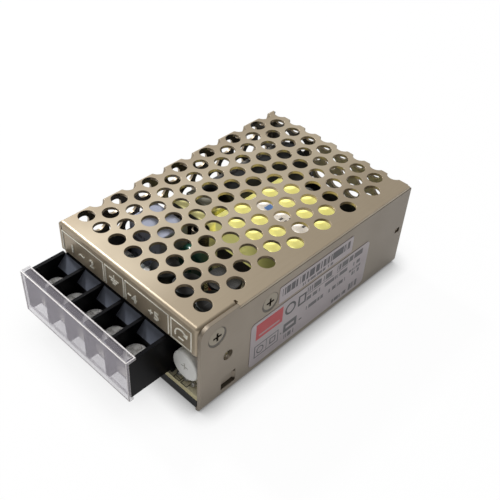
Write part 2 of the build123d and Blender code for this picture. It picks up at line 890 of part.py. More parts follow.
# Output voltage trimmer: knob with its shaft, and the body on the board
knob_back = front + knob_setback + knob_thickness
trimmer_front = knob_back + trimmer_body_gap
with BuildPart() as trimmer_knob:
    with BuildSketch(Plane.XZ.offset(-front - knob_setback)) as knob_disc:
        with Locations((trimmer_x, trimmer_height)):
            Circle(knob_radius)
    extrude(amount=-knob_thickness)
    fillet(trimmer_knob.edges().group_by(Axis.Y)[0], radius=knob_rim_radius)
    with BuildSketch(Plane.XZ.offset(-front - knob_setback)) as knob_cross:
        with Locations((trimmer_x, trimmer_height)):
            Rectangle(knob_cross_length, knob_cross_width)
            Rectangle(knob_cross_width, knob_cross_length)
    extrude(amount=-knob_cross_width, mode=Mode.SUBTRACT)
    with BuildSketch(Plane.XZ.offset(-knob_back)) as knob_shaft:
        with Locations((trimmer_x, trimmer_height)):
            Circle(knob_shaft_radius)
    extrude(amount=-knob_shaft_length)
trimmer_knob.part.label = "trimmer_knob"
export_step(trimmer_knob.part, "parts/trimmer_knob.step")

with BuildPart() as trimmer_body:
    with BuildSketch(Plane.XZ.offset(-trimmer_front)) as trimmer_outline:
        with Locations((trimmer_x, board_top)):
            Rectangle(
                trimmer_body_width,
                trimmer_height + knob_radius - 1 - board_top,
                align=(Align.CENTER, Align.MIN),
            )
        upper_corners = trimmer_outline.vertices().group_by(Axis.Y)[-1]
        fillet(upper_corners, radius=1.0)
    extrude(amount=-trimmer_body_length)
    with BuildSketch(Plane.XZ.offset(-trimmer_front)) as trimmer_bore:
        with Locations((trimmer_x, trimmer_height)):
            Circle(knob_shaft_radius + trimmer_bore_gap)
    extrude(amount=-knob_shaft_length, mode=Mode.SUBTRACT)
trimmer_body.part.label = "trimmer_body"
export_step(trimmer_body.part, "parts/trimmer_body.step")

# Transformer, wrapped in tape over its core
transformer_width = case_width - transformer_from_left - transformer_from_right
transformer_length = case_length - transformer_from_front - transformer_from_back
transformer_x = left + transformer_from_left + transformer_width / 2
transformer_y = front + transformer_from_front + transformer_length / 2
transformer_top = top - transformer_from_top
with BuildPart() as transformer_tape:
    with BuildSketch(Plane.XY.offset(transformer_top - tape_height)) as tape_outline:
        with Locations((transformer_x, transformer_y)):
            RectangleRounded(transformer_width, transformer_length, tape_corner_radius)
    extrude(amount=tape_height)
    fillet(transformer_tape.edges().group_by(Axis.Z)[-1], radius=tape_edge_radius)
    offset(
        amount=-tape_thickness,
        openings=transformer_tape.faces().sort_by(Axis.Z)[0],
    )
transformer_tape.part.label = "transformer_tape"
export_step(transformer_tape.part, "parts/transformer_tape.step")

with BuildPart() as transformer_label:
    with BuildSketch(Plane.XY.offset(transformer_top)) as transformer_paper:
        with Locations((transformer_x, transformer_y)):
            Rectangle(transformer_width - 4, paper_width)
    extrude(amount=paper_thickness)
transformer_label.part.label = "transformer_label"
export_step(transformer_label.part, "parts/transformer_label.step")

core_width = transformer_width - 2 * (tape_thickness + core_gap)
core_length = transformer_length - 2 * (tape_thickness + core_gap)
core_low = board_top + core_above_board
core_high = transformer_top - core_below_top
core_height = core_high - core_low
core_leg = core_leg_share * core_length
centre_leg = centre_leg_share * core_length
window_width = core_width - 2 * core_back
with BuildPart() as transformer_core:
    with BuildSketch(Plane.XY.offset(core_low)) as core_outline:
        with Locations((transformer_x, transformer_y)):
            RectangleRounded(core_width, core_length, tape_corner_radius - tape_thickness)
            Rectangle(window_width, core_length - 2 * core_leg, mode=Mode.SUBTRACT)
            Rectangle(window_width + 1, centre_leg)
    extrude(amount=core_height)
transformer_core.part.label = "transformer_core"
export_step(transformer_core.part, "parts/transformer_core.step")

core_middle = (core_low + core_high) / 2
tube_inner_length = centre_leg + 2 * bobbin_gap
tube_inner_height = core_height + 2 * bobbin_gap
tube_outer_length = tube_inner_length + 2 * bobbin_wall
tube_outer_height = tube_inner_height + 2 * bobbin_wall
bobbin_width = window_width - 2 * bobbin_gap
flange_length = core_length - 2 * core_leg - 4 * bobbin_gap
flange_bottom = board_top + bobbin_foot_height
flange_top = transformer_top - tape_thickness - 3 * bobbin_gap
with BuildPart() as transformer_bobbin:
    with BuildSketch(Plane.YZ.offset(transformer_x - bobbin_width / 2)) as tube_outline:
        with Locations((transformer_y, core_middle)):
            Rectangle(tube_outer_length, tube_outer_height)
    extrude(amount=bobbin_width)
    for end in (-1, 1):
        flange_face = transformer_x + end * bobbin_width / 2
        with BuildSketch(Plane.YZ.offset(flange_face)) as flange_outline:
            with Locations((transformer_y, flange_bottom)):
                Rectangle(
                    flange_length,
                    flange_top - flange_bottom,
                    align=(Align.CENTER, Align.MIN),
                )
        extrude(amount=-end * bobbin_flange)
        with BuildSketch(Plane.XY.offset(board_top)) as foot_outline:
            with Locations((flange_face - end * bobbin_flange, transformer_y)):
                Rectangle(
                    core_back + bobbin_flange,
                    flange_length,
                    align=(Align.MIN if end > 0 else Align.MAX, Align.CENTER),
                )
        extrude(amount=bobbin_foot_height)
    with BuildSketch(Plane.YZ.offset(transformer_x - bobbin_width / 2)) as tube_hole:
        with Locations((transformer_y, core_middle)):
            Rectangle(tube_inner_length, tube_inner_height)
    extrude(amount=bobbin_width, mode=Mode.SUBTRACT)
transformer_bobbin.part.label = "transformer_bobbin"
export_step(transformer_bobbin.part, "parts/transformer_bobbin.step")

coil_width = bobbin_width - 2 * bobbin_flange - 2 * coil_gap
with BuildPart() as transformer_coil:
    with BuildSketch(Plane.YZ.offset(transformer_x - coil_width / 2)) as coil_outline:
        with Locations((transformer_y, core_middle)):
            RectangleRounded(
                flange_length - 2 * bobbin_wall,
                tube_outer_height + 2 * coil_gap + 2 * coil_build,
                tape_corner_radius,
            )
            Rectangle(
                tube_outer_length + 2 * coil_gap,
                tube_outer_height + 2 * coil_gap,
                mode=Mode.SUBTRACT,
            )
    extrude(amount=coil_width)
transformer_coil.part.label = "transformer_coil"
export_step(transformer_coil.part, "parts/transformer_coil.step")

# Bulk capacitor lying behind the mains filter, with its leads bent down
bulk_x = left + bulk_from_left
bulk_front = front + bulk_from_front
bulk_axis = board_top + lying_gap + bulk_radius
bulk_lead_line = bulk_front - 2 * lead_radius
bulk_length = board_back - bulk_from_board_end - bulk_front
bulk_lead_places = (bulk_x - bulk_lead_pitch / 2, bulk_x + bulk_lead_pitch / 2)
with BuildPart() as bulk_capacitor:
    with BuildSketch(Plane.XZ.offset(-bulk_front)) as bulk_outline:
        with Locations((bulk_x, bulk_axis)):
            Circle(bulk_radius)
    extrude(amount=-bulk_length)
    fillet(bulk_capacitor.edges().filter_by(GeomType.CIRCLE), radius=1.0)
    with BuildSketch(Plane.XZ.offset(-bulk_front)) as bulk_lead_stubs:
        with Locations(*[(lead_x, bulk_axis) for lead_x in bulk_lead_places]):
            Circle(lead_radius)
    extrude(amount=bulk_front - bulk_lead_line)
    with BuildSketch(Plane.XY.offset(board_top)) as bulk_leads:
        with Locations(*[(lead_x, bulk_lead_line) for lead_x in bulk_lead_places]):
            Circle(lead_radius)
    extrude(amount=bulk_axis + lead_radius - board_top)
bulk_capacitor.part.label = "bulk_capacitor"
export_step(bulk_capacitor.part, "parts/bulk_capacitor.step")

# Output capacitors
output_row = case_width - output_row_from_left - output_row_from_right
output_capacitor_radius = (output_row - 2 * output_row_gap) / 6
output_capacitor_pitch = 2 * output_capacitor_radius + output_row_gap
for number in range(3):
    capacitor_x = (
        left + output_row_from_left + output_capacitor_radius + number * output_capacitor_pitch
    )
    with BuildPart() as output_capacitor:
        with BuildSketch(Plane.XY.offset(board_top)) as can_outline:
            with Locations((capacitor_x, front + output_capacitor_from_front)):
                Circle(output_capacitor_radius)
        extrude(amount=output_capacitor_height)
        fillet(output_capacitor.edges().group_by(Axis.Z)[-1], radius=can_rounding)
    output_capacitor.part.label = f"output_capacitor_{number + 1}"
    export_step(output_capacitor.part, f"parts/output_capacitor_{number + 1}.step")

# Mains filter choke: square core, one winding on each upright leg, tape round it all
choke_x = left + choke_left + choke_width / 2
choke_y = front + choke_front + choke_length / 2
choke_middle = board_top + choke_above_board + choke_height / 2
choke_window_width = choke_width - 2 * choke_leg
choke_window_height = choke_height - 2 * choke_leg
with BuildPart() as line_choke_core:
    with BuildSketch(Plane.XZ.offset(-choke_y + choke_length / 2)) as choke_outline:
        with Locations((choke_x, choke_middle)):
            RectangleRounded(choke_width, choke_height, 0.8)
            Rectangle(choke_window_width, choke_window_height, mode=Mode.SUBTRACT)
    extrude(amount=-choke_length)
line_choke_core.part.label = "line_choke_core"
export_step(line_choke_core.part, "parts/line_choke_core.step")

leg_places = (
    (choke_x - (choke_width - choke_leg) / 2, choke_y),
    (choke_x + (choke_width - choke_leg) / 2, choke_y),
)
winding_inner_width = choke_leg + 2 * winding_gap
winding_inner_length = choke_length + 2 * winding_gap
with BuildPart() as line_choke_windings:
    with BuildSketch(Plane.XY.offset(choke_middle - choke_window_height / 2 + winding_gap)):
        with Locations(*leg_places):
            RectangleRounded(
                winding_inner_width + 2 * winding_thickness,
                winding_inner_length + 2 * winding_thickness,
                winding_thickness,
            )
            Rectangle(winding_inner_width, winding_inner_length, mode=Mode.SUBTRACT)
    extrude(amount=choke_window_height - 2 * winding_gap)
line_choke_windings.part.label = "line_choke_windings"
export_step(line_choke_windings.part, "parts/line_choke_windings.step")

band_inner_width = choke_width + 2 * (winding_gap + winding_thickness + band_gap)
band_inner_height = choke_height + 2 * band_gap
with BuildPart() as line_choke_band:
    with BuildSketch(Plane.XZ.offset(-choke_y + band_width / 2)) as band_outline:
        with Locations((choke_x, choke_middle)):
            RectangleRounded(
                band_inner_width + 2 * band_thickness,
                band_inner_height + 2 * band_thickness,
                0.8 + band_thickness,
            )
            RectangleRounded(band_inner_width, band_inner_height, 0.8, mode=Mode.SUBTRACT)
    extrude(amount=-band_width)
line_choke_band.part.label = "line_choke_band"
export_step(line_choke_band.part, "parts/line_choke_band.step")

# Two box capacitors of the mains filter
with BuildPart() as emi_capacitor:
    with BuildSketch(Plane.XY.offset(board_top)) as emi_outline:
        with Locations((left + emi_from_left, front + emi_from_front)):
            Rectangle(emi_width, emi_length, align=(Align.MIN, Align.MIN))
    extrude(amount=emi_height)
    emi_sides = emi_capacitor.edges().filter_by(Axis.Z)
    emi_roof = emi_capacitor.edges().group_by(Axis.Z)[-1]
    fillet([*emi_sides, *emi_roof], radius=box_rounding)
emi_capacitor.part.label = "emi_capacitor"
export_step(emi_capacitor.part, "parts/emi_capacitor.step")

with BuildPart() as filter_capacitor:
    with BuildSketch(Plane.XY.offset(board_top)) as filter_outline:
        with Locations((left + filter_from_left, front + filter_from_front)):
            Rectangle(filter_width, filter_length, align=(Align.MIN, Align.MIN))
    extrude(amount=filter_height)
    filter_sides = filter_capacitor.edges().filter_by(Axis.Z)
    filter_roof = filter_capacitor.edges().group_by(Axis.Z)[-1]
    fillet([*filter_sides, *filter_roof], radius=box_rounding)
filter_capacitor.part.label = "filter_capacitor"
export_step(filter_capacitor.part, "parts/filter_capacitor.step")

# Fuse: glass tube between two metal caps that carry its leads
fuse_left = left + fuse_from_left
fuse_y = front + fuse_from_front
fuse_height = board_top + fuse_above_board
with BuildPart() as fuse_tube:
    with BuildSketch(Plane.YZ.offset(fuse_left)) as fuse_section:
        with Locations((fuse_y, fuse_height)):
            Circle(fuse_radius)
            Circle(fuse_radius - fuse_glass, mode=Mode.SUBTRACT)
    extrude(amount=fuse_length)
fuse_tube.part.label = "fuse_tube"
export_step(fuse_tube.part, "parts/fuse_tube.step")

with BuildPart() as fuse_caps:
    for end in (-1, 1):
        cap_face = fuse_left + fuse_length / 2 + end * (fuse_length / 2 + fuse_cap_end)
        with BuildSketch(Plane.YZ.offset(cap_face)) as cap_outline:
            with Locations((fuse_y, fuse_height)):
                Circle(fuse_radius + 0.3)
        extrude(amount=-end * fuse_cap_length)
        with BuildSketch(Plane.YZ.offset(cap_face - end * fuse_cap_end)) as cap_bore:
            with Locations((fuse_y, fuse_height)):
                Circle(fuse_radius + thread_gap)
        extrude(amount=-end * fuse_cap_length, mode=Mode.SUBTRACT)
        with BuildSketch(Plane.XY.offset(board_top)) as cap_lead:
            with Locations((cap_face - end * fuse_cap_end / 2, fuse_y)):
                Rectangle(fuse_cap_end, fuse_lead_width)
        extrude(amount=fuse_height - board_top)
fuse_caps.part.label = "fuse_caps"
export_step(fuse_caps.part, "parts/fuse_caps.step")

# Inrush limiter: a disc on two leads
thermistor_x = left + thermistor_from_left
thermistor_y = front + thermistor_from_front
thermistor_height = board_top + thermistor_above_board
thermistor_lead_y = thermistor_y + thermistor_thickness / 2
with BuildPart() as thermistor:
    with BuildSketch(Plane.XZ.offset(-thermistor_y)) as thermistor_disc:
        with Locations((thermistor_x, thermistor_height)):
            Circle(thermistor_radius)
    extrude(amount=-thermistor_thickness)
    fillet(thermistor.edges().filter_by(GeomType.CIRCLE), radius=thermistor_rounding)
    with BuildSketch(Plane.XY.offset(board_top)) as thermistor_leads:
        with Locations(
            (thermistor_x - thermistor_lead_pitch / 2, thermistor_lead_y),
            (thermistor_x + thermistor_lead_pitch / 2, thermistor_lead_y),
        ):
            Circle(lead_radius)
    extrude(amount=thermistor_above_board)
thermistor.part.label = "thermistor"
export_step(thermistor.part, "parts/thermistor.step")

# Output choke: a winding between the flanges of a drum core
output_choke_place = (left + output_choke_from_left, front + output_choke_from_front)
output_choke_hub = output_choke_radius / 2
with BuildPart() as output_choke_core:
    with BuildSketch(Plane.XY.offset(board_top)) as drum_hub:
        with Locations(output_choke_place):
            Circle(output_choke_hub)
    extrude(amount=output_choke_height)
    with BuildSketch(
        Plane.XY.offset(board_top),
        Plane.XY.offset(board_top + output_choke_height - output_choke_flange),
    ) as drum_flanges:
        with Locations(output_choke_place):
            Circle(output_choke_radius)
    extrude(amount=output_choke_flange)
output_choke_core.part.label = "output_choke_core"
export_step(output_choke_core.part, "parts/output_choke_core.step")

with BuildPart() as output_choke_coil:
    coil_bottom = board_top + output_choke_flange + winding_gap
    with BuildSketch(Plane.XY.offset(coil_bottom)) as drum_coil:
        with Locations(output_choke_place):
            Circle(output_choke_radius - 3 * winding_gap)
            Circle(output_choke_hub + winding_gap, mode=Mode.SUBTRACT)
    extrude(amount=output_choke_height - 2 * output_choke_flange - 2 * winding_gap)
output_choke_coil.part.label = "output_choke_coil"
export_step(output_choke_coil.part, "parts/output_choke_coil.step")

# Two lying resistors with their leads
resistor_places = (
    right - resistor_from_right - resistor_pitch,
    right - resistor_from_right,
)
resistor_y = back - resistor_from_back
resistor_axis = board_top + resistor_lift + resistor_radius
resistor_lead_ends = (
    resistor_y - resistor_lead_span / 2,
    resistor_y + resistor_lead_span / 2,
)
with BuildPart() as resistors:
    with BuildSketch(Plane.XZ.offset(-resistor_y - resistor_length / 2)) as resistor_bodies:
        with Locations(*[(place, resistor_axis) for place in resistor_places]):
            Circle(resistor_radius)
    extrude(amount=resistor_length)
    with BuildSketch(Plane.XZ.offset(-resistor_lead_ends[1])) as resistor_wires:
        with Locations(*[(place, resistor_axis) for place in resistor_places]):
            Circle(resistor_lead_radius)
    extrude(amount=resistor_lead_span)
    for lead_y in resistor_lead_ends:
        with BuildSketch(Plane.XY.offset(board_top)) as resistor_leads:
            with Locations(*[(place, lead_y) for place in resistor_places]):
                Circle(resistor_lead_radius)
        extrude(amount=resistor_axis - board_top)
resistors.part.label = "resistors"
export_step(resistors.part, "parts/resistors.step")

# Bridge rectifier standing in line behind the transformer
bridge_rectifier_left = left + bridge_rectifier_from_left
bridge_rectifier_right = resistor_places[0] - resistor_radius - bridge_rectifier_gap
bridge_rectifier_width = bridge_rectifier_right - bridge_rectifier_left
bridge_rectifier_x = (bridge_rectifier_left + bridge_rectifier_right) / 2
bridge_rectifier_y = back - bridge_rectifier_from_back
with BuildPart() as bridge_rectifier:
    bridge_underside = board_top + bridge_rectifier_above_board
    with BuildSketch(Plane.XY.offset(bridge_underside)) as bridge_outline:
        with Locations((bridge_rectifier_x, bridge_rectifier_y)):
            Rectangle(bridge_rectifier_width, bridge_rectifier_thickness)
    extrude(amount=bridge_rectifier_height)
    roof_corners = bridge_rectifier.edges().filter_by(Axis.Y).group_by(Axis.Z)[-1]
    chamfer(roof_corners.sort_by(Axis.X)[0], length=bridge_rectifier_corner)
    with BuildSketch(Plane.XY.offset(board_top)) as bridge_leads:
        with Locations((bridge_rectifier_x, bridge_rectifier_y)):
            with GridLocations(bridge_rectifier_width / 4, 1, 4, 1):
                Rectangle(2 * lead_radius, 2 * resistor_lead_radius)
    extrude(amount=bridge_rectifier_above_board + 0.5)
bridge_rectifier.part.label = "bridge_rectifier"
export_step(bridge_rectifier.part, "parts/bridge_rectifier.step")

# Small capacitor that feeds the controller
supply_place = (left + supply_capacitor_from_left, back - supply_capacitor_from_back)
with BuildPart() as supply_capacitor:
    with BuildSketch(Plane.XY.offset(board_top)) as supply_outline:
        with Locations(supply_place):
            Circle(supply_capacitor_radius)
    extrude(amount=supply_capacitor_height)
    fillet(supply_capacitor.edges().group_by(Axis.Z)[-1], radius=can_rounding)
supply_capacitor.part.label = "supply_capacitor"
export_step(supply_capacitor.part, "parts/supply_capacitor.step")

# Switching controller, and the optocoupler that feeds back to it
chip_body_bottom = board_top + chip_standoff
chip_space_left = supply_place[0] + supply_capacitor_radius
chip_space_right = board_screw_places[2][0] - board_screw_head_radius
chip_place = ((chip_space_left + chip_space_right) / 2, back - chip_from_back)
with BuildPart() as controller_chip:
    with BuildSketch(Plane.XY.offset(chip_body_bottom)) as chip_outline:
        with Locations(chip_place):
            Rectangle(chip_length, chip_width)
    extrude(amount=chip_height)
    with BuildSketch(Plane.XY.offset(board_top)) as chip_legs:
        with Locations(chip_place):
            with GridLocations(chip_leg_pitch, chip_width + chip_leg_thickness, 4, 2):
                Rectangle(chip_leg_width, chip_leg_thickness)
    extrude(amount=chip_standoff + chip_height / 2)
controller_chip.part.label = "controller_chip"
export_step(controller_chip.part, "parts/controller_chip.step")

opto_place = (right - opto_from_right, back - opto_from_back)
with BuildPart() as optocoupler:
    with BuildSketch(Plane.XY.offset(chip_body_bottom)) as opto_outline:
        with Locations(opto_place):
            Rectangle(opto_length, chip_width)
    extrude(amount=chip_height)
    with BuildSketch(Plane.XY.offset(board_top)) as opto_legs:
        with Locations(opto_place):
            with GridLocations(chip_leg_pitch, chip_width + chip_leg_thickness, 2, 2):
                Rectangle(chip_leg_width, chip_leg_thickness)
    extrude(amount=chip_standoff + chip_height / 2)
optocoupler.part.label = "optocoupler"
export_step(optocoupler.part, "parts/optocoupler.step")

# Disc capacitor between the mains side and the output side
y_capacitor_x = right - y_capacitor_from_right
y_capacitor_y = back - y_capacitor_from_back
with BuildPart() as y_capacitor:
    with BuildSketch(Plane.YZ.offset(y_capacitor_x - y_capacitor_thickness / 2)) as y_disc:
        with Locations((y_capacitor_y, board_top + y_capacitor_above_board)):
            Circle(y_capacitor_radius)
    extrude(amount=y_capacitor_thickness)
    fillet(y_capacitor.edges().filter_by(GeomType.CIRCLE), radius=y_capacitor_thickness * 0.38)
    with BuildSketch(Plane.XY.offset(board_top)) as y_leads:
        with Locations(
            (y_capacitor_x, y_capacitor_y - y_capacitor_lead_pitch / 2),
            (y_capacitor_x, y_capacitor_y + y_capacitor_lead_pitch / 2),
        ):
            Circle(lead_radius)
    extrude(amount=y_capacitor_above_board)
y_capacitor.part.label = "y_capacitor"
export_step(y_capacitor.part, "parts/y_capacitor.step")

# Output rectifier: pad, tab, body and the nut of its screw
rectifier_place = (front + device_screw_from_front, device_screw_height)
rectifier_bottom = board_top + rectifier_above_board
rectifier_tab_top = top - rectifier_tab_from_top
nut_corner_radius = nut_width / 2 / cos(pi / 6)
rectifier_body_top = device_screw_height - nut_corner_radius - rectifier_nut_gap
with BuildPart() as rectifier_pad:
    with BuildSketch(Plane.YZ.offset(panel_inside)) as pad_outline:
        with Locations((rectifier_place[0], rectifier_bottom - 0.5)):
            Rectangle(
                rectifier_width + 1,
                rectifier_tab_top - rectifier_bottom + 1,
                align=(Align.CENTER, Align.MIN),
            )
        with Locations(rectifier_place):
            Circle(case_screw_shank_radius + 0.5, mode=Mode.SUBTRACT)
    extrude(amount=-pad_thickness)
rectifier_pad.part.label = "rectifier_pad"
export_step(rectifier_pad.part, "parts/rectifier_pad.step")

tab_face = panel_inside - pad_thickness
with BuildPart() as rectifier_tab:
    with BuildSketch(Plane.YZ.offset(tab_face)) as tab_shape:
        with Locations((rectifier_place[0], rectifier_bottom + 0.3)):
            Rectangle(
                rectifier_width,
                rectifier_tab_top - rectifier_bottom - 0.3,
                align=(Align.CENTER, Align.MIN),
            )
        with Locations(rectifier_place):
            Circle(case_screw_shank_radius + 0.3, mode=Mode.SUBTRACT)
    extrude(amount=-rectifier_tab_thickness)
rectifier_tab.part.label = "rectifier_tab"
export_step(rectifier_tab.part, "parts/rectifier_tab.step")

with BuildPart() as rectifier_body:
    body_face = tab_face - rectifier_tab_thickness
    with BuildSketch(Plane.YZ.offset(body_face)) as body_outline:
        with Locations((rectifier_place[0], rectifier_bottom)):
            Rectangle(
                rectifier_width,
                rectifier_body_top - rectifier_bottom,
                align=(Align.CENTER, Align.MIN),
            )
    extrude(amount=-rectifier_body_thickness)
    with BuildSketch(Plane.XY.offset(board_top)) as rectifier_leads:
        with Locations((body_face - rectifier_body_thickness / 2, rectifier_place[0])):
            with GridLocations(1, chip_leg_pitch, 1, 3):
                Rectangle(rectifier_lead_thickness, rectifier_lead_width)
    extrude(amount=rectifier_bottom - board_top)
rectifier_body.part.label = "rectifier_body"
export_step(rectifier_body.part, "parts/rectifier_body.step")

with BuildPart() as rectifier_nut:
    with BuildSketch(Plane.YZ.offset(tab_face - rectifier_tab_thickness)) as nut_outline:
        with Locations(rectifier_place):
            RegularPolygon(radius=nut_width / 2, side_count=6, major_radius=False)
            Circle(case_screw_shank_radius + thread_gap, mode=Mode.SUBTRACT)
    extrude(amount=-nut_height)
rectifier_nut.part.label = "rectifier_nut"
export_step(rectifier_nut.part, "parts/rectifier_nut.step")

# Stickers on the outside of the side panel
serial_bottom = top - serial_from_top - serial_height
rating_height = serial_bottom - label_gap - rating_bottom
with BuildPart() as rating_label:
    with BuildSketch(Plane.YZ.offset(right)) as rating_outline:
        with Locations((
            front + rating_from_front + rating_length / 2,
            rating_bottom + rating_height / 2,
        )):
            RectangleRounded(rating_length, rating_height, rating_corner)
    extrude(amount=sticker_thickness)
rating_label.part.label = "rating_label"
export_step(rating_label.part, "parts/rating_label.step")

with BuildPart() as serial_label:
    with BuildSketch(Plane.YZ.offset(right)) as serial_outline:
        with Locations((
            front + serial_from_front + serial_length / 2,
            serial_bottom + serial_height / 2,
        )):
            RectangleRounded(serial_length, serial_height, serial_corner)
    extrude(amount=sticker_thickness)
serial_label.part.label = "serial_label"
export_step(serial_label.part, "parts/serial_label.step")
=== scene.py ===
"""Small enclosed LED power supply: folded perforated case, barrier terminals, clear terminal cover.

Places are metres in the frame of the CAD model: +X towards the labelled side panel, +Y from the
terminals to the back wall, +Z up. A number times mm is in millimetres.
"""

import math

import bmesh
import bpy
from mathutils import Matrix, Vector


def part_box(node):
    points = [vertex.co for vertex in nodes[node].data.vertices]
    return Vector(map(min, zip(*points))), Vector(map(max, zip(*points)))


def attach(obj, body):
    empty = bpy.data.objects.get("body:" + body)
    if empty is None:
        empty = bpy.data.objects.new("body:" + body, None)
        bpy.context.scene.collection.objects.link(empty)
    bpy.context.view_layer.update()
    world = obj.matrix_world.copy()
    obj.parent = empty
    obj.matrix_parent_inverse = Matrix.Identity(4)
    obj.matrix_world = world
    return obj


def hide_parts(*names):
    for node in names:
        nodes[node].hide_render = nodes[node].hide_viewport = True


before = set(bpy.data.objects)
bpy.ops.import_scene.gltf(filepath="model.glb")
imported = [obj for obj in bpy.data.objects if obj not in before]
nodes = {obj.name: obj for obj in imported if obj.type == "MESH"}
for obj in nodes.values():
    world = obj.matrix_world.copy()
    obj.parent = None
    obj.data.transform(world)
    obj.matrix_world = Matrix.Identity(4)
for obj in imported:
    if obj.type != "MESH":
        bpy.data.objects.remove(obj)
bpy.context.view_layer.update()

mm = 0.001
white = (1.0, 1.0, 1.0, 1.0)

# Outer faces of the case
cover_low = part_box("cover")[0]
chassis_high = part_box("chassis")[1]
case_left, case_front = cover_low.x, cover_low.y
case_right, case_back = chassis_high.x, chassis_high.y

# Terminal block: the middle of each cell between two barriers
block_low, block_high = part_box("terminal_block")
poles = 5
pole_pitch = 7.62 * mm
end_barrier = 1.0 * mm
pole_places = [block_low.x + end_barrier + pole_pitch * (n + 0.5) for n in range(poles)]


def paint(red, green, blue):
    """A colour written as it looks on screen, 0 to 255, in the linear values that shaders take."""
    def linear(value):
        value = value / 255
        return value / 12.92 if value <= 0.04045 else ((value + 0.055) / 1.055) ** 2.4
    return (linear(red), linear(green), linear(blue), 1.0)


def darker(colour, share):
    """A colour with each channel at a share of its strength."""
    return tuple(share * channel for channel in colour[:3]) + (1.0,)


class Wire:
    """A number, colour or shape inside a node tree; numbers can be used in Python sums."""

    def __init__(self, work, socket):
        self.work = work
        self.socket = socket

    def maths(self, operation, *values):
        return self.work.node("ShaderNodeMath", {"operation": operation}, dict(enumerate(values)))

    def __add__(self, other):
        return self.maths("ADD", self, other)

    def __radd__(self, other):
        return self.maths("ADD", other, self)

    def __sub__(self, other):
        return self.maths("SUBTRACT", self, other)

    def __rsub__(self, other):
        return self.maths("SUBTRACT", other, self)

    def __mul__(self, other):
        return self.maths("MULTIPLY", self, other)

    def __rmul__(self, other):
        return self.maths("MULTIPLY", other, self)

    def __truediv__(self, other):
        return self.maths("DIVIDE", self, other)

    def __gt__(self, other):
        return self.maths("GREATER_THAN", self, other)

    def __lt__(self, other):
        return self.maths("LESS_THAN", self, other)

    def __abs__(self):
        return self.maths("ABSOLUTE", self)

    def power(self, other):
        return self.maths("POWER", self, other)

    def floor(self):
        return self.maths("FLOOR", self)

    def fraction(self):
        return self.maths("FRACT", self)

    def largest(self, other):
        return self.maths("MAXIMUM", self, other)

    def smallest(self, other):
        return self.maths("MINIMUM", self, other)

    def between(self, low, high):
        """1 where the value lies between low and high, else 0."""
        return (self > low) * (self < high)

    def near(self, middle, half):
        """1 within half of the middle, else 0."""
        return abs(self - middle) < half

    def spread(self, low, high):
        """The value taken from low..high to 0..1, and held at both ends."""
        return self.work.node(
            "ShaderNodeMapRange",
            {"clamp": True, "interpolation_type": "SMOOTHSTEP"},
            {"Value": self, "From Min": low, "From Max": high},
        )


class Wiring:
    """A node tree, and the one method that adds a node to it."""

    def __init__(self, tree):
        self.tree = tree

    def fill(self, socket, value):
        """Give a socket a value or a wire, or several wires where it takes them."""
        if isinstance(value, list):
            for wire in value:
                self.fill(socket, wire)
        elif isinstance(value, Wire):
            self.tree.links.new(value.socket, socket)
        else:
            socket.default_value = value

    def node(self, kind, settings, inputs, output=0):
        """One node: its settings, the values or wires of its inputs, and the output wanted."""
        made = self.tree.nodes.new(kind)
        for key, value in settings.items():
            setattr(made, key, value)
        for key, value in inputs.items():
            self.fill(made.inputs[key], value)
        return Wire(self, made.outputs[output])

    def parts(self, vector):
        """The three numbers of a vector."""
        first = self.node("ShaderNodeSeparateXYZ", {}, {"Vector": vector})
        return [Wire(self, socket) for socket in first.socket.node.outputs]


class Coat(Wiring):
    """A new material with nothing but its output."""

    def __init__(self, name):
        self.material = bpy.data.materials.new(name)
        self.material.use_nodes = True
        super().__init__(self.material.node_tree)
        self.tree.nodes.clear()
        self.out = self.tree.nodes.new("ShaderNodeOutputMaterial")


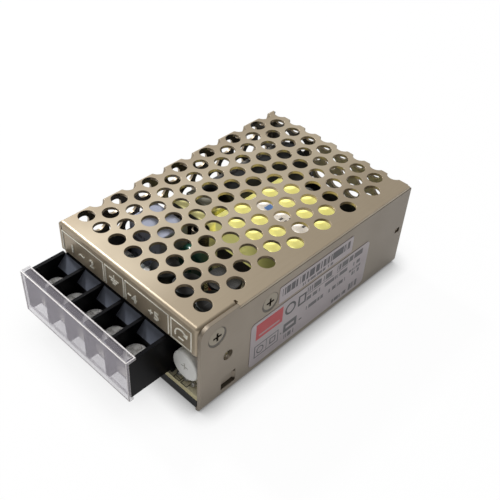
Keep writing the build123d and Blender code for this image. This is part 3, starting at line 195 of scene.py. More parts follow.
class Finish(Coat):
    """A material of the object: one Principled surface and the nodes that feed it."""

    def __init__(self, name, colour, roughness, metallic=0.0, **fixed):
        super().__init__(name)
        self.surface = self.tree.nodes.new("ShaderNodeBsdfPrincipled")
        self.tree.links.new(self.surface.outputs[0], self.out.inputs[0])
        self.feed("Base Color", colour)
        self.feed("Roughness", roughness)
        self.feed("Metallic", metallic)
        for key, value in fixed.items():
            self.feed(key.replace("_", " ").title().replace("Ior", "IOR"), value)
        self.place = self.node("ShaderNodeTexCoord", {}, {}, "Object")
        self.x, self.y, self.z = self.parts(self.place)

    def feed(self, socket, value):
        """Give the surface a value or a wire."""
        self.fill(self.surface.inputs[socket], value)

    def stretched(self, x, y, z):
        """The object's own coordinates, scaled along each axis."""
        inputs = {0: self.place, 1: (x, y, z)}
        return self.node("ShaderNodeVectorMath", {"operation": "MULTIPLY"}, inputs)

    def noise(self, scale, detail, where=None):
        inputs = {"Vector": where or self.place, "Scale": scale, "Detail": detail}
        return self.node("ShaderNodeTexNoise", {}, inputs)

    def chance(self, value):
        """A steady random number from 0 to 1 for each whole number of the value."""
        return self.node("ShaderNodeTexWhiteNoise", {"noise_dimensions": "1D"}, {"W": value})

    def mixed(self, mask, first, second):
        """First colour where the mask is 0, second where it is 1."""
        inputs = {0: mask, 6: first, 7: second}
        return self.node("ShaderNodeMix", {"data_type": "RGBA"}, inputs, 2)

    def clouded(self, cloud, share, first, second):
        """First colour with soft clouds of the second, at most a share of it."""
        return self.mixed(cloud.spread(0.3, 0.7) * share, first, second)

    def normal(self):
        return self.node("ShaderNodeNewGeometry", {}, {}, "Normal")

    def facing(self, axis):
        """How far the surface faces +X, +Y or +Z, from -1 to 1."""
        return self.parts(self.normal())["xyz".index(axis)]

    def rounded(self, radius):
        """The normal, turned softly from face to face within a radius of each sharp edge."""
        return self.node("ShaderNodeBevel", {"samples": 4}, {"Radius": radius})

    def edges(self, reach):
        """1 along sharp edges, falling to 0 at the reach from them."""
        inputs = {0: self.rounded(reach), 1: self.normal()}
        same = self.node("ShaderNodeVectorMath", {"operation": "DOT_PRODUCT"}, inputs, "Value")
        return (1.0 - same).spread(0.004, 0.12)

    def relief(self, height, depth, edge=0.0):
        """Bump by a height, in metres, over softly rounded edges."""
        inputs = {"Height": height, "Distance": depth, "Strength": 1.0}
        if edge:
            inputs["Normal"] = self.rounded(edge)
        self.feed("Normal", self.node("ShaderNodeBump", {}, inputs))


class SheetSteel(Finish):
    """Zinc-coated sheet: fine rolling grain along the case, faintly clouded."""

    def __init__(self, name, colour, dark):
        super().__init__(name, colour, 0.36, 0.45)
        grain = self.noise(1.0, 3.0, self.stretched(2600, 160, 2600))
        cloud = self.noise(90.0, 3.0)
        tone = self.clouded(cloud, 0.5, colour, dark)
        self.tone = self.mixed(grain.spread(0.35, 0.75) * 0.25, tone, dark)
        self.feed("Roughness", 0.31 + cloud * 0.14)
        self.relief(grain, 0.004 * mm, 0.14 * mm)


def panel_steel(name, colour, dark):
    """The chassis's sheet, with painted shade that darkens it towards the back."""
    steel = SheetSteel(name, colour, dark)
    # Painted shade: the colour darkens from the front of the panel to the back.
    back_shade = steel.y.spread(0.0, case_back)
    steel.feed("Base Color", steel.mixed(back_shade, steel.tone, darker(colour, 0.80)))
    return steel.material


def folded_cover_steel(name, colour, dark):
    """The cover's sheet, with painted shade inside the left wall and at the upper left of the back
    wall's inside, painted light on the rest of that inside, and a painted highlight across the
    middle of the top.
    """
    steel = SheetSteel(name, colour, dark)
    wall = 1.5 * mm
    across, along, up = (steel.facing(axis) for axis in "xyz")
    left_inside = (across > 0.5) * (steel.x < case_left + wall) * (steel.z > 1.0 * mm)
    back_inside = (along < -0.5) * (steel.y > case_back - wall)
    back_corner = (steel.x < case_left + 17.0 * mm).smallest(steel.z > 17.0 * mm)
    # Painted highlight: top faces are paler across the middle, fading out towards both sides.
    middle = (up > 0.7) * steel.x.spread(case_right - 9.0 * mm, case_right - 24.0 * mm)
    middle = middle * steel.x.spread(case_left, case_left + 12.0 * mm)
    tone = steel.mixed(middle * 0.8, steel.tone, paint(200, 186, 162))
    # Painted light: the inside of the back wall is pale.
    tone = steel.mixed(back_inside, tone, paint(226, 218, 204))
    # Painted shade: the inside of the left wall and the upper left of the back wall's inside are
    # dark.
    wall_shade = left_inside.largest(back_inside * back_corner)
    steel.feed("Base Color", steel.mixed(wall_shade * 0.9, tone, paint(46, 42, 38)))
    return steel.material


def moulded(name, colour, roughness, gloss=0.5):
    """Moulded plastic with a faint texture and softly rounded edges."""
    plastic = Finish(name, colour, roughness, Specular_IOR_Level=gloss)
    texture = plastic.noise(5200.0, 2.0)
    sheen = plastic.noise(240.0, 2.0)
    plastic.feed("Base Color", plastic.clouded(sheen, 0.5, colour, darker(colour, 0.82)))
    plastic.feed("Roughness", (roughness - 0.06) + sheen * 0.12)
    plastic.relief(texture, 0.006 * mm, 0.10 * mm)
    return plastic.material


def terminal_plastic(name):
    """Black glass-filled plastic: glossy barriers, and rougher slopes behind the screws that are
    painted paler, as painted light where they face up and to the front.
    """
    black = paint(12, 12, 15)
    lit_slope_colour = paint(88, 92, 102)
    plastic = Finish(name, black, 0.34, Specular_IOR_Level=0.06)
    texture = plastic.noise(5200.0, 2.0)
    cloud = plastic.noise(420.0, 3.0)
    # Painted light: the slopes that face up and to the front are paler.
    faces_up_front = (plastic.facing("z") > 0.35) * (plastic.facing("y") < -0.35)
    slope = faces_up_front * (plastic.z > 14.0 * mm)
    plastic.feed("Base Color", plastic.mixed(slope * (0.80 + cloud * 0.30), black, lit_slope_colour))
    plastic.feed("Roughness", 0.30 + slope * 0.22 + cloud * 0.06)
    plastic.relief(texture, 0.006 * mm, 0.10 * mm)
    return plastic.material


def bright_metal(name, colour, roughness, stretch=(5200, 900, 5200), metallic=1.0):
    """Plated metal with fine turning or drawing marks."""
    metal = Finish(name, colour, roughness, metallic)
    marks = metal.noise(1.0, 2.0, metal.stretched(*stretch))
    tone = metal.mixed(marks.spread(0.35, 0.75) * 0.6, colour, darker(colour, 0.80))
    metal.feed("Base Color", tone)
    metal.feed("Roughness", (roughness - 0.06) + marks * 0.16)
    metal.relief(marks, 0.0012 * mm, 0.16 * mm)
    return metal.material


def case_screw_metal(name):
    """Zinc-plated screws: a dull head, with painted shade that darkens its cross and all that lies
    back from its outermost face, and a line of painted shade around its rim.
    """
    head = paint(146, 137, 120)
    screw_places = ((4.9, 23.4), (22.5, 22.2))  # millimetres from the front and from the base
    rim_inside, rim_outside = 2.40 * mm, 3.2 * mm
    metal = Finish(name, head, 0.36, 0.5)
    marks = metal.noise(1.0, 2.0, metal.stretched(5200, 900, 5200))
    # Painted shade: dark below the head's outermost face and in a ring at the head's rim.
    recess_shade = metal.x < case_right - 0.12 * mm
    for along, height in screw_places:
        from_screw = (metal.y - (case_front + along * mm)).power(2)
        from_screw = (from_screw + (metal.z - height * mm).power(2)).power(0.5)
        recess_shade = recess_shade.largest(from_screw.between(rim_inside, rim_outside))
    metal.feed("Base Color", metal.mixed(recess_shade * 0.85, head, paint(58, 52, 44)))
    metal.feed("Roughness", 0.30 + marks * 0.14)
    metal.relief(marks, 0.008 * mm, 0.10 * mm)
    return metal.material


def hazy_clear(name):
    """Hazy clear moulding, with painted highlights that whiten its edges and make them less clear,
    and level faces made clearer as painted light, since they show less reflection.
    """
    haze_colour = paint(204, 198, 208)
    clear = Finish(name, haze_colour, 0.30, Specular_IOR_Level=0.20)
    haze = clear.noise(160.0, 2.0)
    # Painted highlight: near-white and less clear along sharp edges.
    rim = clear.edges(0.34 * mm)
    # Painted light: level faces are made clearer, as they show less reflection.
    level = abs(clear.facing("z")) > 0.7
    clear.feed("Base Color", clear.mixed(rim, haze_colour, paint(250, 247, 244)))
    clear.feed("Alpha", (0.36 + haze * 0.06) + rim * 0.44 - level * 0.26)
    clear.relief(haze, 0.02 * mm, 0.12 * mm)
    return clear.material


def board_laminate(name):
    """Cream laminate with black component outlines on top and bare edges."""
    cream = paint(240, 232, 202)
    cell = 2.6 * mm
    board = Finish(name, cream, 0.45)
    weave = board.noise(1.0, 2.0, board.stretched(1800, 1800, 1800))
    column = (board.x / cell).floor()
    row = (board.y / cell).floor()
    inside_x = abs((board.x / cell).fraction() - 0.5)
    inside_y = abs((board.y / cell).fraction() - 0.5)
    outline = inside_x.largest(inside_y).between(0.34, 0.43)
    outline = outline * (board.chance(column * 7.0 + row * 31.0) > 0.45)
    dashes = inside_y.between(0.10, 0.16) * (inside_x < 0.3)
    dashes = dashes * (board.chance(column * 13.0 + row * 5.0) > 0.5)
    up = board.facing("z")
    tone = board.mixed(weave.spread(0.35, 0.7) * 0.35, cream, paint(196, 186, 150))
    tone = board.mixed(abs(up) < 0.5, tone, paint(226, 214, 164))
    printed = outline.largest(dashes) * (up > 0.5)
    board.feed("Base Color", board.mixed(printed * 0.85, tone, paint(40, 38, 36)))
    board.feed("Roughness", 0.38 + weave * 0.14)
    board.relief(weave, 0.01 * mm, 0.06 * mm)
    return board.material


def polyester_tape(name, colour, shade, glow, with_front_shade=False):
    """Shiny tape in thin wraps, with a painted glow of its own; where asked, its front faces take
    painted shade that deepens towards the right and is broken by speckle.
    """
    wrap = 1.45 * mm
    # Painted light: the tape glows with its own colour.
    tape = Finish(name, colour, 0.34, Specular_IOR_Level=0.6, Emission_Strength=glow)
    wrinkle = tape.noise(1.0, 3.0, tape.stretched(260, 260, 900))
    lap = ((tape.z / wrap).fraction() < 0.10) * 0.6
    tone = tape.mixed(wrinkle.spread(0.3, 0.75) * 0.35 + lap * 0.3, colour, shade)
    if with_front_shade:
        front = tape.facing("y") < -0.3
        dark_from, dark_to = case_left + 30.0 * mm, case_left + 42.0 * mm
        # Painted shade on the front faces, darker towards the right, with speckle.
        front_shade = front * (0.35 + tape.x.spread(dark_from, dark_to) * 0.65)
        speckle = tape.noise(900.0, 3.0).spread(0.45, 0.6) * front * 0.5
        dark = front_shade.largest(speckle * (tape.x > dark_from))
        tone = tape.mixed(dark * 0.9, tone, paint(70, 70, 30))
    tape.feed("Base Color", tone)
    tape.feed("Emission Color", tone)
    tape.feed("Roughness", 0.26 + wrinkle * 0.18)
    tape.relief(wrinkle, 0.05 * mm, 0.2 * mm)
    return tape.material


def capacitor_sleeve(name, centre, radius, colour, lid, shine, axis="z"):
    """Dark shrink sleeve with a pale minus stripe, and a scored metal top inside its rim."""
    sleeve = Finish(name, paint(*colour), 0.36)
    second, along = (sleeve.y, sleeve.z) if axis == "z" else (sleeve.z, sleeve.y)
    first, second = sleeve.x - centre[0], second - centre[1]
    out = (first * first + second * second).power(0.5)
    end = abs(sleeve.facing(axis)) > 0.7
    top = end * (out < radius * 0.80)
    line_half = 0.12 * mm
    score = (abs(first) < line_half).largest(abs(second) < line_half) * (out < radius * 0.62)
    dash = (along / (2.4 * mm)).fraction().between(0.2, 0.75)
    band = (first < -radius * 0.82) * (1.0 - end)
    cloud = sleeve.noise(300.0, 2.0)
    tone = sleeve.clouded(cloud, 0.4, paint(*colour), paint(12, 15, 16))
    tone = sleeve.mixed(band * (0.55 + dash * 0.35), tone, paint(120, 124, 122))
    tone = sleeve.mixed(top, tone, paint(*lid))
    sleeve.feed("Base Color", sleeve.mixed(score * top * 0.8, tone, paint(60, 60, 60)))
    sleeve.feed("Metallic", top * shine)
    sleeve.feed("Roughness", 0.30 + cloud * 0.14)
    sleeve.relief(cloud, 0.02 * mm, 0.2 * mm)
    return sleeve.material


def enamel_wire(name, colour, shade):
    """Enamelled copper."""
    wire = Finish(name, colour, 0.30, 0.7)
    cloud = wire.noise(700.0, 2.0)
    wire.feed("Base Color", wire.clouded(cloud, 0.6, colour, shade))
    wire.feed("Roughness", 0.22 + cloud * 0.2)
    wire.relief(cloud, 0.01 * mm)
    return wire.material


def ferrite(name):
    """Dark sintered ferrite with a fine grain."""
    core = Finish(name, paint(52, 52, 54), 0.6, Specular_IOR_Level=0.3)
    grain = core.noise(3800.0, 3.0)
    tone = core.mixed(grain.spread(0.4, 0.7), paint(46, 46, 48), paint(70, 70, 72))
    core.feed("Base Color", tone)
    core.feed("Roughness", 0.48 + grain * 0.2)
    core.relief(grain, 0.012 * mm, 0.12 * mm)
    return core.material


def printed_box(name, colour, ink, node, wrapped=False):
    """Box capacitor: moulded case with printed strokes, its right end wrapped in tape if asked."""
    low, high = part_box(node)
    stroke, line = 0.55 * mm, 1.9 * mm
    case = Finish(name, colour, 0.42)
    texture = case.noise(2600.0, 2.0)
    cloud = case.noise(200.0, 2.0)
    column = (case.x / stroke).floor()
    row = (case.z / line).floor()
    bars = (case.z / line).fraction().between(0.25, 0.75)
    bars = bars * (case.chance(column * 3.0 + row * 17.0) > 0.35)
    area = case.x.between(low.x + 2 * mm, high.x - 2 * mm)
    area = area * case.z.between(low.z + 3 * mm, high.z - 3 * mm)
    tone = case.clouded(cloud, 0.5, colour, darker(colour, 0.8))
    tone = case.mixed(bars * area * (abs(case.facing("y")) > 0.7) * 0.8, tone, ink)
    if wrapped:
        tone = case.mixed(case.x > high.x - 3.6 * mm, tone, paint(206, 200, 116))
    case.feed("Base Color", tone)
    case.feed("Roughness", 0.36 + cloud * 0.12)
    case.relief(texture, 0.008 * mm, 0.2 * mm)
    return case.material


def dipped(name, colour, shade):
    """Dipped coating with a soft, uneven gloss."""
    coat = Finish(name, colour, 0.28, Specular_IOR_Level=0.6)
    cloud = coat.noise(420.0, 3.0)
    coat.feed("Base Color", coat.clouded(cloud, 0.6, colour, shade))
    coat.feed("Roughness", 0.18 + cloud * 0.22)
    coat.relief(cloud, 0.06 * mm, 0.2 * mm)
    return coat.material


def film(name):
    """Black insulating film with faint scuffs."""
    sheet = Finish(name, paint(18, 18, 20), 0.4, Specular_IOR_Level=0.15)
    scuff = sheet.noise(1.0, 3.0, sheet.stretched(300, 1500, 1500))
    tone = sheet.mixed(scuff.spread(0.45, 0.8) * 0.5, paint(12, 12, 14), paint(30, 30, 34))
    sheet.feed("Base Color", tone)
    sheet.feed("Roughness", 0.30 + scuff * 0.2)
    sheet.relief(scuff, 0.01 * mm, 0.06 * mm)
    return sheet.material


# Colours of the printed labels
paper_white = paint(204, 194, 196)
paper_shade = paint(192, 182, 185)
ink_dark = paint(44, 40, 48)
ink_black = paint(24, 22, 27)
field_red = paint(206, 52, 60)


class Label(Finish):
    """Printed sticker on the side panel, its places in millimetres from the front and the base."""

    def __init__(self, name):
        super().__init__(name, paper_white, 0.42)
        self.along = self.y - case_front
        cloud = self.noise(220.0, 3.0)
        self.tone = self.clouded(cloud, 0.5, paper_white, paper_shade)
        self.feed("Roughness", 0.36 + cloud * 0.14)
        self.relief(cloud, 0.012 * mm, 0.03 * mm)

    def ink(self, mask, colour):
        self.tone = self.mixed(mask, self.tone, colour)
        self.feed("Base Color", self.tone)

    def patch(self, start, end, low, high):
        """A filled rectangle."""
        return self.along.between(start * mm, end * mm) * self.z.between(low * mm, high * mm)

    def outline(self, start, end, low, high, line):
        """A rectangle drawn as a line of this width, inside its edges."""
        inner = self.patch(start + line, end - line, low + line, high - line)
        return self.patch(start, end, low, high) * (1.0 - inner)

    def ring(self, start, height, radius, line):
        """A ring with its middle at a place along the panel and a height."""
        first = self.along - start * mm
        second = self.z - height * mm
        out = (first * first + second * second).power(0.5)
        return out.between((radius - line) * mm, radius * mm)

    def strokes(self, start, end, low, high, pitch, gaps, seed):
        """Small upright strokes in place of a line of small print; gaps is the share left out."""
        step = (self.along / (pitch * mm)).floor()
        return self.patch(start, end, low, high) * (self.chance(step + seed) > gaps)


def rating_print(name):
    """Rating sticker: a red field, plain marks and rows of strokes in place of words."""
    label = Label(name)
    label.ink(label.patch(18.1, 27.6, 11.6, 17.0), field_red)
    label.ink(label.patch(19.2, 26.5, 12.5, 13.1) * 0.75, paper_white)
    label.ink(label.ring(30.4, 14.4, 2.0, 0.62), ink_black)
    label.ink(label.outline(33.3, 36.3, 12.6, 16.2, 0.6), ink_black)
    label.ink(label.outline(17.9, 26.6, 5.2, 9.5, 0.3), ink_dark)
    label.ink(label.patch(22.15, 22.33, 5.2, 9.5), ink_dark)
    label.ink(label.ring(20.0, 7.3, 1.25, 0.3), ink_dark)
    label.ink(label.outline(23.4, 25.6, 6.3, 8.4, 0.35), ink_dark)
    label.ink(label.patch(27.3, 27.8, 6.9, 7.4), ink_dark)
    label.ink(label.patch(34.4, 35.5, 6.9, 7.4), ink_dark)
    label.ink(label.patch(28.4, 33.4, 6.4, 9.7) * 0.9, ink_black)
    label.ink(label.patch(29.3, 32.5, 7.6, 8.5), paper_white)
    rows = (  # start, end, low, high, pitch, gaps, seed, ink
        (28.9, 33.6, 4.0, 5.6, 0.34, 0.35, 3.0, ink_dark),
        (36.6, 46.6, 15.2, 17.1, 0.42, 0.16, 11.0, ink_black),
        (48.4, 59.0, 15.2, 17.1, 0.42, 0.16, 29.0, ink_black),
        (36.6, 41.9, 12.5, 13.8, 0.30, 0.24, 41.0, ink_dark),
        (43.8, 53.4, 12.5, 13.8, 0.30, 0.24, 57.0, ink_dark),
        (55.6, 59.1, 12.5, 13.8, 0.30, 0.24, 71.0, ink_dark),
        (54.2, 59.1, 10.8, 11.6, 0.26, 0.24, 83.0, ink_dark),
        (36.6, 43.7, 9.0, 10.3, 0.30, 0.24, 97.0, ink_dark),
        (45.9, 53.1, 9.0, 10.3, 0.30, 0.24, 103.0, ink_dark),
        (55.6, 59.1, 9.0, 10.3, 0.30, 0.24, 127.0, ink_dark),
        (48.1, 54.1, 3.6, 4.9, 0.26, 0.24, 139.0, ink_dark),
        (55.0, 58.8, 3.6, 6.0, 0.24, 0.30, 151.0, ink_dark),
    )
    for *row, ink in rows:
        label.ink(label.strokes(*row) * 0.85, ink)
    label.ink(label.patch(36.6, 47.0, 14.6, 14.8), ink_dark)
    label.ink(label.patch(48.4, 53.0, 14.6, 14.8), ink_dark)
    return label.material


def serial_print(name):
    """Narrow sticker with plain bars of different widths and a short row of strokes."""
    label = Label(name)
    label.ink(label.strokes(26.6, 52.4, 20.9, 23.4, 0.24, 0.22, 9.0) * 0.95, ink_dark)
    label.ink(label.strokes(34.2, 45.9, 19.35, 20.3, 0.34, 0.25, 17.0) * 0.8, ink_dark)
    return label.material


def transformer_print(name):
    """White paper on the transformer with plain dark and blue marks, and a painted glow of its own.
    """
    low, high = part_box("transformer_label")
    paper = Finish(name, paint(250, 246, 240), 0.5, Emission_Strength=0.36)
    cloud = paper.noise(260.0, 2.0)
    across = (paper.x - low.x) / (high.x - low.x)
    along = (paper.y - low.y) / (high.y - low.y)
    step = (across * 26.0).floor()
    strokes = (paper.chance(step + 3.0) > 0.55) * along.between(0.24, 0.44)
    strokes = strokes * across.between(0.50, 0.70)
    more = (paper.chance(step + 91.0) > 0.55) * along.between(0.56, 0.76)
    more = more * across.between(0.62, 0.94)
    blue = along.between(0.34, 0.72) * across.between(0.24, 0.38)
    tone = paper.clouded(cloud, 0.4, paint(252, 248, 244), paint(236, 232, 228))
    tone = paper.mixed(strokes.largest(more) * 0.85, tone, paint(40, 40, 46))
    tone = paper.mixed(blue * 0.9, tone, paint(60, 124, 206))
    paper.feed("Base Color", tone)
    # Painted light: the paper glows with its own colour.
    paper.feed("Emission Color", tone)
    paper.feed("Roughness", 0.42 + cloud * 0.14)
    paper.relief(cloud, 0.02 * mm, 0.05 * mm)
    return paper.material


def banded_resistor(name):
    """Beige lacquer with four plain colour bands."""
    low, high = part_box("resistors")
    bands = (  # place along the body, colour
        (0.30, paint(120, 70, 40)),
        (0.42, paint(30, 28, 28)),
        (0.54, paint(170, 60, 40)),
        (0.70, paint(180, 150, 60)),
    )
    body = Finish(name, paint(196, 172, 126), 0.34)
    cloud = body.noise(600.0, 2.0)
    along = (body.y - low.y) / (high.y - low.y)
    tone = body.clouded(cloud, 0.5, paint(198, 174, 128), paint(172, 148, 104))
    for middle, colour in bands:
        tone = body.mixed(along.near(middle, 0.035), tone, colour)
    body.feed("Base Color", tone)
    body.feed("Roughness", 0.26 + cloud * 0.16)
    body.relief(cloud, 0.02 * mm, 0.1 * mm)
    return body.material


def fuse_glass(name):
    """Thin clear glass tube, with a painted reflection that makes it pale and less clear towards
    its outline.
    """
    glass = Finish(name, paint(206, 214, 214), 0.06, Specular_IOR_Level=0.5)
    # Painted reflection: the tube turns pale and less clear where it is seen edge-on.
    rim = glass.node("ShaderNodeLayerWeight", {}, {"Blend": 0.45}, "Facing")
    cloud = glass.noise(300.0, 2.0)
    glass.feed("Alpha", 0.16 + rim * 0.6)
    glass.feed("Roughness", 0.04 + cloud * 0.05)
    glass.relief(cloud, 0.01 * mm)
    return glass.material


def dress(material, *names):
    """Give CAD nodes their finish."""
    for name in names:
        node = nodes[name]
        node.data.materials.clear()
        node.data.materials.append(material)


# Finishes that more than one node or piece takes
black_plastic = moulded("black_plastic", paint(20, 20, 24), 0.36, gloss=0.15)
white_plastic = moulded("white_plastic", paint(244, 243, 238), 0.38)
# Painted highlight: the screw finish is near-white and barely metallic, so that screws look bright
# in shaded places.
screw_plate = bright_metal("screw_steel", paint(255, 254, 252), 0.34, metallic=0.15)
tin_plate = bright_metal("tinned_brass", paint(250, 246, 232), 0.36, metallic=0.25)
copper_wire = enamel_wire("copper", paint(176, 96, 56), paint(112, 58, 36))
dark_wire = enamel_wire("choke_enamel", paint(112, 104, 88), paint(70, 66, 58))

# Case and stickers
dress(folded_cover_steel("cover_steel", paint(176, 161, 138), paint(164, 149, 126)), "cover")
# The side panel's steel is a darker copy of the cover's: painted shade for the side that faces away
# from the lamps.
dress(panel_steel("side_panel_steel", paint(146, 134, 118), paint(136, 125, 110)), "chassis")
dress(case_screw_metal("case_screw_steel"), "case_screws")
dress(film("black_film"), "insulation_film")
dress(serial_print("serial_print"), "serial_label")

# Terminals
dress(terminal_plastic("terminal_plastic"), "terminal_block")
dress(hazy_clear("clear_plastic"), "terminal_cover")
for number in range(1, poles + 1):
    dress(screw_plate, f"terminal_clamp_{number}", f"terminal_screw_{number}")
    dress(tin_plate, f"terminal_contact_{number}")

# Board and wound parts
dress(board_laminate("board_laminate"), "circuit_board")
dress(screw_plate, "board_screws", "rectifier_nut", "fuse_caps")
yellow = paint(255, 251, 160)
# The yellow tape glows as painted light and takes painted shade on its front; the olive band glows
# less.
dress(polyester_tape("yellow_tape", yellow, paint(250, 240, 130), 0.46, True), "transformer_tape")
olive = paint(240, 234, 168)
dress(polyester_tape("olive_tape", olive, paint(206, 200, 132), 0.10), "line_choke_band")
dress(ferrite("ferrite"), "transformer_core", "line_choke_core", "output_choke_core")
dress(copper_wire, "transformer_coil")
dress(transformer_print("transformer_print"), "transformer_label")

# Capacitors: three standing ones with dark tops, a small one with a bright top, one lying down
for name in ("output_capacitor_1", "output_capacitor_2", "output_capacitor_3", "supply_capacitor"):
    low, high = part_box(name)
    middle = (low + high) / 2
    radius = (high.x - low.x) / 2
    place = (middle.x, middle.y)
    lid, shine = ((150, 150, 148), 0.7) if name == "supply_capacitor" else ((26, 26, 28), 0.1)
    dress(capacitor_sleeve(f"sleeve_{name}", place, radius, (24, 30, 30), lid, shine), name)
low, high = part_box("bulk_capacitor")
radius = (high.x - low.x) / 2
place = ((low.x + high.x) / 2, high.z - radius)
lying = capacitor_sleeve("sleeve_bulk", place, radius, (34, 36, 38), (40, 40, 42), 0.7, "y")
dress(lying, "bulk_capacitor")
blue_grey, blue_ink = paint(160, 165, 184), paint(92, 94, 112)
dress(printed_box("emi_case", blue_grey, blue_ink, "emi_capacitor"), "emi_capacitor")
warm_grey, warm_ink = paint(128, 126, 114), paint(70, 68, 60)
filter_case = printed_box("filter_case", warm_grey, warm_ink, "filter_capacitor", wrapped=True)
dress(filter_case, "filter_capacitor")
dress(dipped("blue_coating", paint(44, 90, 176), paint(26, 56, 120)), "y_capacitor")

# Other parts
dress(black_plastic, "transformer_bobbin", "bridge_rectifier", "controller_chip", "rectifier_body")
dress(white_plastic, "trimmer_knob", "optocoupler")
dress(moulded("trimmer_case", paint(196, 188, 166), 0.4), "trimmer_body")
dress(tin_plate, "rectifier_tab")
dress(moulded("grey_pad", paint(150, 152, 158), 0.6), "rectifier_pad")
dress(dipped("dark_green_coating", paint(16, 84, 66), paint(8, 44, 38)), "thermistor")
dress(banded_resistor("beige_coating"), "resistors")
dress(fuse_glass("fuse_glass"), "fuse_tube")


def linked(name, data):
    """A new object at the origin, in the scene."""
    thing = bpy.data.objects.new(name, data)
    bpy.context.scene.collection.objects.link(thing)
    return thing


def plain_mesh(maker, name):
    """The finished shape of an object as a plain mesh piece at the origin; the maker goes."""
    bpy.context.view_layer.update()
    shape = maker.evaluated_get(bpy.context.evaluated_depsgraph_get())
    mesh = bpy.data.meshes.new_from_object(shape)
    mesh.transform(maker.matrix_world)
    mesh.name = name
    bpy.data.objects.remove(maker)
    return linked(name, mesh)


def closed(name, shape):
    """A mesh piece from a bmesh, its faces turned outwards."""
    bmesh.ops.recalc_face_normals(shape, faces=shape.faces[:])
    mesh = bpy.data.meshes.new(name)
    shape.to_mesh(mesh)
    shape.free()
    return linked(name, mesh)


def joined(name, pieces):
    """Several plain pieces as one smooth mesh."""
    whole = bmesh.new()
    for piece in pieces:
        whole.from_mesh(piece.data)
        bpy.data.objects.remove(piece)
    result = closed(name, whole)
    for face in result.data.polygons:
        face.use_smooth = True
    return result


def add_prism(shape, near, far):
    """A closed solid in a bmesh between two outlines of as many places."""
    near = [shape.verts.new(place) for place in near]
    far = [shape.verts.new(place) for place in far]
    shape.faces.new(near)
    shape.faces.new(far[::-1])
    for number, after in enumerate([*range(1, len(near)), 0]):
        shape.faces.new((near[number], far[number], far[after], near[after]))


def finished(piece, material, body, slot_name, *replaced):
    """Dress a piece, let it ride on its body and hide the nodes that it stands for. The slot name
    is not used.
    """
    if material:
        piece.data.materials.clear()
        piece.data.materials.append(material)
    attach(piece, body)
    if replaced:
        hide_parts(*replaced)


class Tree(Wiring):
    """A Geometry Nodes tree with a named input for each size, and one for the material."""

    def __init__(self, name, *sizes):
        super().__init__(bpy.data.node_groups.new(name, "GeometryNodeTree"))
        face = self.tree.interface
        face.new_socket("Geometry", in_out="OUTPUT", socket_type="NodeSocketGeometry")
        face.new_socket("Geometry", in_out="INPUT", socket_type="NodeSocketGeometry")
        kinds = {size: "NodeSocketFloat" for size in sizes} | {"Material": "NodeSocketMaterial"}
        self.keys = {
            label: face.new_socket(label, in_out="INPUT", socket_type=kind).identifier
            for label, kind in kinds.items()
        }
        self.given = self.tree.nodes.new("NodeGroupInput")
        self.result = self.tree.nodes.new("NodeGroupOutput")

    def size(self, label):
        return Wire(self, self.given.outputs[label])

    def finish(self, shape):
        """The shape at each point, made real and dressed."""
        inputs = {"Points": self.size("Geometry"), "Instance": shape}
        placed = self.node("GeometryNodeInstanceOnPoints", {}, inputs)
        real = self.node("GeometryNodeRealizeInstances", {}, {"Geometry": placed})
        inputs = {"Geometry": real, "Material": self.size("Material")}
        self.fill(self.result.inputs[0], self.node("GeometryNodeSetMaterial", {}, inputs))

    def grow(self, name, points, values):
        """Run the tree on loose points and give back the plain mesh piece."""
        mesh = bpy.data.meshes.new(name)
        mesh.from_pydata(points, [], [])
        maker = linked(name, mesh)
        modifier = maker.modifiers.new("grow", "NODES")
        modifier.node_group = self.tree
        for label, value in values.items():
            modifier[self.keys[label]] = value
        return plain_mesh(maker, name)


def turns_tree():
    """Closed turns of wire round a leg, one at each point."""
    tree = Tree("wire_turns", "Width", "Length", "Corner", "Wire radius")
    sides = {"Width": tree.size("Width"), "Height": tree.size("Length")}
    loop = tree.node("GeometryNodeCurvePrimitiveQuadrilateral", {}, sides)
    corner = {"Curve": loop, "Radius": tree.size("Corner"), "Count": 6, "Limit Radius": True}
    rounded = tree.node("GeometryNodeFilletCurve", {"mode": "POLY"}, corner)
    section = {"Resolution": 8, "Radius": tree.size("Wire radius")}
    wire = tree.node("GeometryNodeCurvePrimitiveCircle", {}, section)
    turn = tree.node("GeometryNodeCurveToMesh", {}, {"Curve": rounded, "Profile Curve": wire})
    tree.finish(tree.node("GeometryNodeSetShadeSmooth", {}, {"Geometry": turn}))
    return tree


def joints_tree():
    """A flat pad with a small solder cone at each point."""
    tree = Tree("solder_joints", "Pad radius", "Pad height", "Cone radius", "Cone height")
    pad = {"Vertices": 16, "Radius": tree.size("Pad radius"), "Depth": tree.size("Pad height")}
    cone = {
        "Vertices": 16,
        "Side Segments": 3,
        "Radius Top": 0.25 * mm,
        "Radius Bottom": tree.size("Cone radius"),
        "Depth": tree.size("Cone height"),
    }
    shapes = [
        tree.node("GeometryNodeMeshCylinder", {}, pad),
        tree.node("GeometryNodeMeshCone", {}, cone),
    ]
    tree.finish(tree.node("GeometryNodeJoinGeometry", {}, {"Geometry": shapes}))
    return tree


def stacked(x, y, low, high, count, wire):
    """Places one above another for turns of a wire of this radius, from low to high."""
    pitch = (high - low - 2 * wire) / (count - 1)
    return [(x, y, low + wire + turn * pitch) for turn in range(count)]


